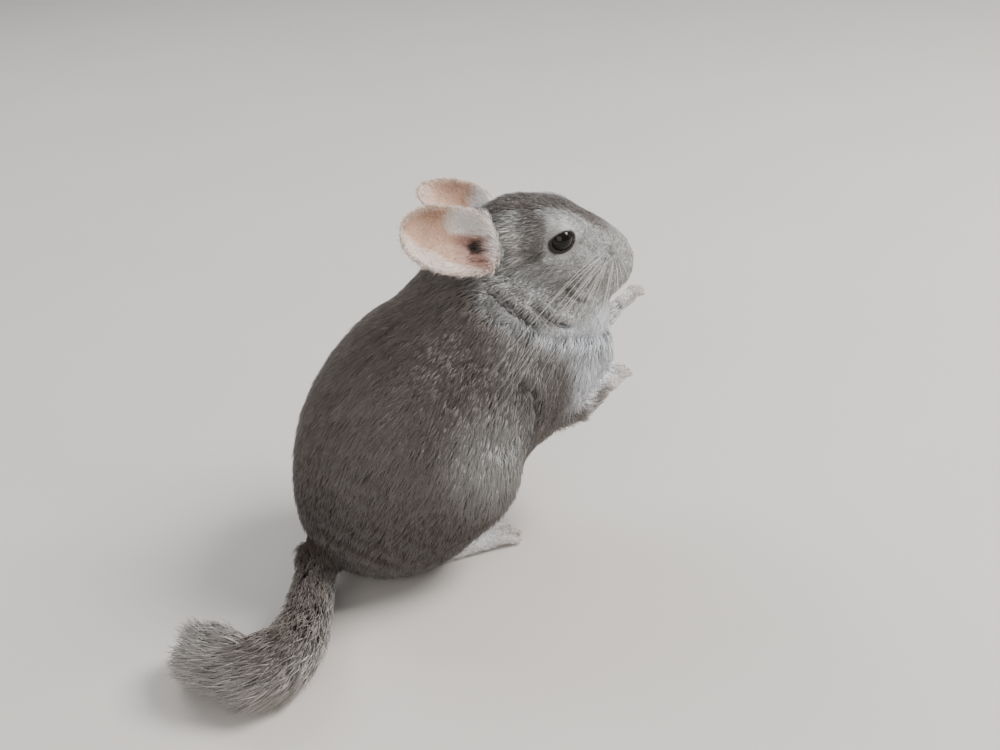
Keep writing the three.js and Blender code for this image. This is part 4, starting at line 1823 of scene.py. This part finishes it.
    def build(self) -> None:
        """Grows every piece of the coat."""
        middles, normals = self.middles, self.middle_normals
        local = HEAD.inside(middles)
        ear = np.zeros(len(middles), bool)
        hollow = np.zeros(len(middles), bool)
        for place in EARS.values():
            held = place.holds(middles)
            ear |= held
            hollow |= held & (normals @ place.axes[:, 2] > 0.0)
        paw = np.zeros(len(middles), bool)
        for place in PAWS.values():
            paw |= place.holds(middles)
        foot = on_foot(middles)
        tail = TAIL.holds(middles)
        x, _, z = local.T
        head = (x > -36) & (z + 0.35 * x > -42) & (np.linalg.norm(local, axis=1) < 62)
        bare = self.bare(middles)
        rest = ~(ear | paw | foot | tail | bare)
        face = rest & head
        trunk = rest & ~head
        self.cover_trunk(trunk)
        self.cover_head(face)
        self.cover_tail(tail & ~bare)
        self.cover_ends(paw & ~bare, foot & ~bare, ear, hollow)

    def cover_trunk(self, trunk: Array) -> None:
        """Covers neck, back, sides, chest, belly and legs.

        Args:
            trunk: Which triangles of the skin they are.
        """
        right = self.middles[:, 1] < 0
        high = self.middles[:, 2] + 0.25 * self.middles[:, 0] > 92
        front = self.middles[:, 0] > 30
        stretches = (
            ("coat_back_right", trunk & right & high & ~front),
            ("coat_back_left", trunk & ~right & high & ~front),
            ("coat_flank_right", trunk & right & ~high & ~front),
            ("coat_flank_left", trunk & ~right & ~high & ~front),
            ("coat_chest_right", trunk & right & front),
            ("coat_chest_left", trunk & ~right & front),
        )
        total = (self.area * trunk).sum()
        tufts = self.trunk_tufts
        for name, where in stretches:
            share = (self.area * where).sum() / total
            ground = self.sow(where.astype(float), int(tufts * share))
            self.grow(Fur(name, 10.5, 0.75, 4.2), ground, self.trunk_scale(ground.points))

    def trunk_scale(self, points: Array) -> Array:
        """How long the fur of the trunk is: shorter on arms, by the feet and over folds.

        Args:
            points: Rows of X, Y and Z in the body's frame.

        Returns:
            The length at each point against the whole.
        """
        scale = np.ones(len(points))
        for line in ARM_LINES.values():
            away, along = along_line(points, line)
            scale *= 1 - 0.6 * ramp(15, 9, away) * ramp(0.2, 0.5, along)
        away, along = from_foot(points)
        scale *= 1 - 0.6 * ramp(20, 9, away) * ramp(0.2, 0.6, along)
        for line, dark in self.markings.creases:
            away, along = along_line(points, line)
            ends = ramp(0, 0.25, along) * ramp(1, 0.75, along)
            scale *= 1 - min(0.45, 0.65 * dark) * ramp(10, 3, away) * ends
        return scale

    def cover_head(self, face: Array) -> None:
        """Covers crown, cheeks and muzzle, finer towards the nose.

        Args:
            face: Which triangles of the skin they are.
        """
        local = HEAD.inside(self.middles)
        density = face * (0.6 + 1.6 * ramp(-20, 22, local[:, 0]))
        for name, where in (("coat_head_right", local[:, 1] < 0), ("coat_head_left", local[:, 1] >= 0)):
            ground = self.sow(density * where, self.half_head_tufts)
            place = HEAD.inside(ground.points)
            scale = 1.15 - 0.85 * ramp(-34, 26, place[:, 0])
            for eye in EYES:
                near = ramp(15, 7.5, np.linalg.norm(ground.points - eye.centre, axis=1))
                scale = scale * (1 - 0.65 * near)
            self.grow(Fur(name, 6.2, 0.5, 2.0, clump=0.2, clump_gap=2.6, speckle=0.24), ground, scale)

    def cover_tail(self, tail: Array) -> None:
        """Covers the tail with bristling hair, as long as its coat is deep.

        Args:
            tail: Which triangles of the skin it is.
        """
        base = self.middles[:, 0] > -98
        halves = (
            ("coat_tail_base", base, self.tail_base_tufts),
            ("coat_tail_brush", ~base, self.tail_brush_tufts),
        )
        for name, where, count in halves:
            ground = self.sow((tail & where).astype(float), count)
            near = TAIL.nearest(ground.points)
            scale = (TAIL.coat - TAIL.core)[near] / 10.0
            fur = Fur(name, 17.5, 0.62, 9.2, clump=0.36, clump_gap=3.5, stations=(0.0, 0.35, 0.7), spread=0.3,
                      pale_tips=2.0, dark_roots=0.8, speckle=0.25)
            self.grow(fur, ground, np.clip(scale, 0.3, 1.3))

    def cover_ends(self, paw: Array, foot: Array, ear: Array, hollow: Array) -> None:
        """Covers paws, feet and ears with short hair.

        Args:
            paw: Which triangles of the skin are forepaws.
            foot: Which are hind feet.
            ear: Which are ears.
            hollow: Which lie in the hollow of an ear.
        """
        back = ear & ~hollow
        stretches = (
            (Fur("coat_forepaws", 2.0, 0.35, 0.7, clump=0.2, clump_gap=1.5), paw, self.forepaw_tufts),
            (Fur("coat_hind_feet", 3.0, 0.42, 0.9, clump=0.2, clump_gap=2.0), foot, self.foot_tufts),
            (Fur("coat_ear_backs", 3.0, 0.35, 0.5, clump=0.2, clump_gap=2.0), back, self.ear_back_tufts),
        )
        for fur, where, count in stretches:
            self.grow(fur, self.sow(where.astype(float), count))
        rim = np.zeros(len(self.middles))
        for place in EARS.values():
            along, across, _ = place.spread(self.middles)
            band = ramp(-0.05, 0.2, -0.4 - 0.45 * np.maximum(along, 0) - across)
            edge = ramp(0.8, 0.98, np.hypot(along, across)) * 0.5
            root = ramp(-0.5, -0.8, along)
            rim = np.maximum(rim, np.maximum(np.maximum(band, edge), root) * place.holds(self.middles))
        ground = self.sow(hollow * rim + 0.05 * hollow, self.ear_rim_tufts)
        fur = Fur("coat_ear_rims", 4.0, 0.24, 1.1, clump=0.2, clump_gap=2.0, pale_tips=1.3, dark_roots=1.0)
        far_in = np.zeros(len(ground))
        for place in EARS.values():
            along = place.spread(ground.points)[0]
            far_in = np.maximum(far_in, ramp(-0.2, -0.7, along) * place.holds(ground.points))
        self.grow(fur, ground, 0.8 + 0.9 * far_in)


# Eyes, claws and whiskers


@dataclass
class Eyes:
    """The two eyeballs, each with a slight cornea."""

    cornea: float = 0.25
    segments: int = 64
    rings: int = 40

    def build(self) -> None:
        """Makes both eyes."""
        for place in EYES:
            bpy.ops.object.select_all(action="DESELECT")
            bpy.ops.mesh.primitive_uv_sphere_add(segments=self.segments, ring_count=self.rings, radius=1.0)
            eye = bpy.context.object
            eye.name = f"eyeball_{place.side.word}"
            outward = unit(HEAD.turn_out(np.array([0.12, place.side.value * 0.98, 0.12])))
            ball = np.array([v.co for v in eye.data.vertices])
            front = ramp(0.75, 1.0, ball @ outward)
            set_corners(eye.data, place.centre + ball * (place.radius + self.cornea * front)[:, None])
            eye.data.polygons.foreach_set("use_smooth", np.ones(len(eye.data.polygons), bool))
            at = to_metres(place.centre[None])[0]
            eye.data.materials.append(EyeFinish(tuple(at), tuple(outward), place.radius / 1000).material())
            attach(eye, "root")
            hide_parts(f"eye_{place.side.word}")
            LOG.info("%s", eye.name)


@dataclass
class Claws:
    """Short claws on fingers and toes."""

    length: float = 2.6
    radius: float = 0.55
    toe_end: float = 30.6
    middle_toe: float = 3.0
    toe_gap: float = 7.0

    def claw(self, root: Array, way: Array, size: float) -> tuple[Array, Array]:
        """One claw, bent down towards its tip.

        Args:
            root: Where it grows.
            way: The way it points.
            size: Its size against a toe's claw.

        Returns:
            Its points and triangles.
        """
        t = np.linspace(0, 1, 7)[:, None]
        down = np.array([0, 0, -1.0])
        line = root + way * t * self.length * size + down * (t**2) * self.length * size * 0.35
        return tube(line, self.radius * size * (1 - t[:, 0] * 0.85), 8)

    def places(self) -> Iterable[tuple[Array, Array, float]]:
        """Says where claws grow.

        Returns:
            The root, direction and size of every claw.
        """
        for paw in PAWS.values():
            for spread in (-1.5, -0.5, 0.5, 1.5):
                local = np.array([[15.2 - abs(spread), spread * 3.5, -1.0]])
                yield paw.outside(local)[0], unit(paw.axes @ np.array([1, spread * 0.1, -0.3])), 0.75
        for side in Side:
            for toe in (-1, 0, 1):
                reach = self.toe_end + (self.middle_toe if toe == 0 else 0.0)
                root = np.array([reach, side.value * (FOOT_APART + toe * self.toe_gap), 2.6])
                yield root, unit(np.array([1, 0.15 * toe * side.value, -0.12])), 1.0

    def build(self) -> None:
        """Makes all claws as one piece."""
        points, faces, start = [], [], 0
        for root, way, size in self.places():
            corners, triangles = self.claw(root, way, size)
            points.append(corners)
            faces.append(triangles + start)
            start += len(corners)
        piece = mesh_object("claws", np.vstack(points), np.vstack(faces))
        piece.data.materials.append(HornFinish("claw", (0.42, 0.36, 0.31), 0.4).material())
        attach(piece, "root")
        LOG.info("claws: %d triangles", len(piece.data.polygons))


@dataclass
class Whiskers:
    """Long stiff hairs that spring from rows on the sides of the muzzle."""

    thickness: float = 0.24
    longest: float = 78.0
    shorter: float = 11.0
    rows: int = 4
    in_a_row: int = 5
    seed: int = 9

    def build(self, skin: bpy.types.Object) -> None:
        """Makes the whiskers of both sides as one piece.

        Args:
            skin: What they grow from.
        """
        draw = np.random.default_rng(self.seed)
        work = bmesh.new()
        work.from_mesh(skin.data)
        tree = BVHTree.FromBMesh(work)
        points, faces, start = [], [], 0
        for side in Side:
            for row in range(self.rows):
                for place in range(self.in_a_row):
                    height = -8 - row * 3.0 - place * 0.6
                    target = np.array([[19 + place * 3.2 - row, side.value * 14.5, height]])
                    root = to_metres(HEAD.outside(target))[0]
                    found = tree.find_nearest(Vector(root))[0]
                    root = to_millimetres(np.array(found)[None])[0]
                    reach = self.longest - place * self.shorter + draw.uniform(-6, 6)
                    way = np.array([-0.75 + 0.2 * place, side.value * (0.66 - 0.05 * row), -0.2 - 0.13 * row])
                    back = HEAD.turn_out(way)
                    droop = np.array([-0.2, 0, -0.35]) * reach
                    t = np.linspace(0, 1, 12)[:, None]
                    line = root + unit(back + draw.normal(0, 0.07, 3)) * t * reach + droop * t**2
                    line[:, 2] = np.maximum(line[:, 2], 1.0)
                    corners, triangles = tube(line, self.thickness / 2 * (1 - 0.88 * t[:, 0]), 5)
                    points.append(corners)
                    faces.append(triangles + start)
                    start += len(corners)
        work.free()
        piece = mesh_object("whiskers", np.vstack(points), np.vstack(faces))
        piece.data.materials.append(HornFinish("whisker", (0.85, 0.83, 0.8), 0.35).material())
        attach(piece, "root")
        LOG.info("whiskers: %d triangles", len(piece.data.polygons))


# The studio


@dataclass(frozen=True)
class Lamp:
    """A soft square light, with its place and side in metres and its power in watts."""

    name: str
    at: tuple[float, float, float]
    size: float
    power: float
    colour: tuple[float, float, float]


LAMPS = (
    Lamp("key", (1.15, -0.35, 1.35), 0.7, 42.0, (1.0, 0.98, 0.96)),
    Lamp("fill", (-1.0, -1.4, 0.9), 1.4, 12.0, (1.0, 0.96, 0.92)),
    Lamp("rim", (-0.4, 1.3, 1.4), 0.9, 12.0, (0.95, 0.97, 1.0)),
)


@dataclass
class Studio:
    """Floor, soft lights and the camera at the photograph's angle."""

    eye: tuple[float, float, float] = (-150.1, -514.4, 387.9)
    azimuth: float = -20.0
    pitch: float = 28.5
    roll: float = -5.0
    lens: float = 43.2
    sensor: float = 36.0
    clip: tuple[float, float] = (0.02, 20.0)
    aim: tuple[float, float, float] = (0.0, 0.0, 0.09)
    floor_size: float = 8.0
    sky: tuple[float, float, float, float] = (0.95, 0.97, 1.0, 1.0)
    sky_strength: float = 0.45

    def camera(self) -> None:
        """Sets the camera."""
        data = bpy.data.cameras.new("camera")
        data.lens, data.sensor_width = self.lens, self.sensor
        data.clip_start, data.clip_end = self.clip
        camera = bpy.data.objects.new("camera", data)
        bpy.context.scene.collection.objects.link(camera)
        a, p, r = (math.radians(v) for v in (self.azimuth, self.pitch, self.roll))
        back = np.array([math.sin(a) * math.cos(p), -math.cos(a) * math.cos(p), math.sin(p)])
        level = np.array([math.cos(a), math.sin(a), 0.0])
        up = np.cross(back, level)
        right = math.cos(r) * level + math.sin(r) * up
        top = -math.sin(r) * level + math.cos(r) * up
        turn = Matrix(np.stack([right, top, back], axis=1).tolist()).to_4x4()
        camera.matrix_world = Matrix.Translation(Vector(to_metres(np.array([self.eye]))[0])) @ turn
        bpy.context.scene.camera = camera

    def light(self, kind: Lamp) -> None:
        """Adds a soft light that looks at the animal.

        Args:
            kind: The light.
        """
        data = bpy.data.lights.new(kind.name, "AREA")
        data.size, data.energy, data.color = kind.size, kind.power, kind.colour
        lamp = bpy.data.objects.new(kind.name, data)
        bpy.context.scene.collection.objects.link(lamp)
        lamp.location = kind.at
        aim = Vector(self.aim) - Vector(kind.at)
        lamp.rotation_mode = "QUATERNION"
        lamp.rotation_quaternion = aim.to_track_quat("-Z", "Y")

    def build(self) -> None:
        """Sets floor, lights and camera."""
        bpy.ops.object.select_all(action="DESELECT")
        bpy.ops.mesh.primitive_plane_add(size=self.floor_size)
        floor = bpy.context.object
        floor.name = "floor"
        floor.data.materials.append(FloorFinish().material())
        for lamp in LAMPS:
            self.light(lamp)
        world = bpy.data.worlds.new("studio")
        world.use_nodes = True
        background = world.node_tree.nodes["Background"]
        background.inputs["Color"].default_value = self.sky
        background.inputs["Strength"].default_value = self.sky_strength
        bpy.context.scene.world = world
        self.camera()


def main() -> None:
    """Builds the model in order."""
    logging.basicConfig(level=logging.INFO, format="%(message)s")
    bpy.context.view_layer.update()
    Studio().build()
    markings = Markings()
    skin = Skin().build(markings)
    Eyes().build()
    Coat(skin, markings).build()
    Claws().build()
    Whiskers().build(skin)


if __name__ == "__main__":
    main()
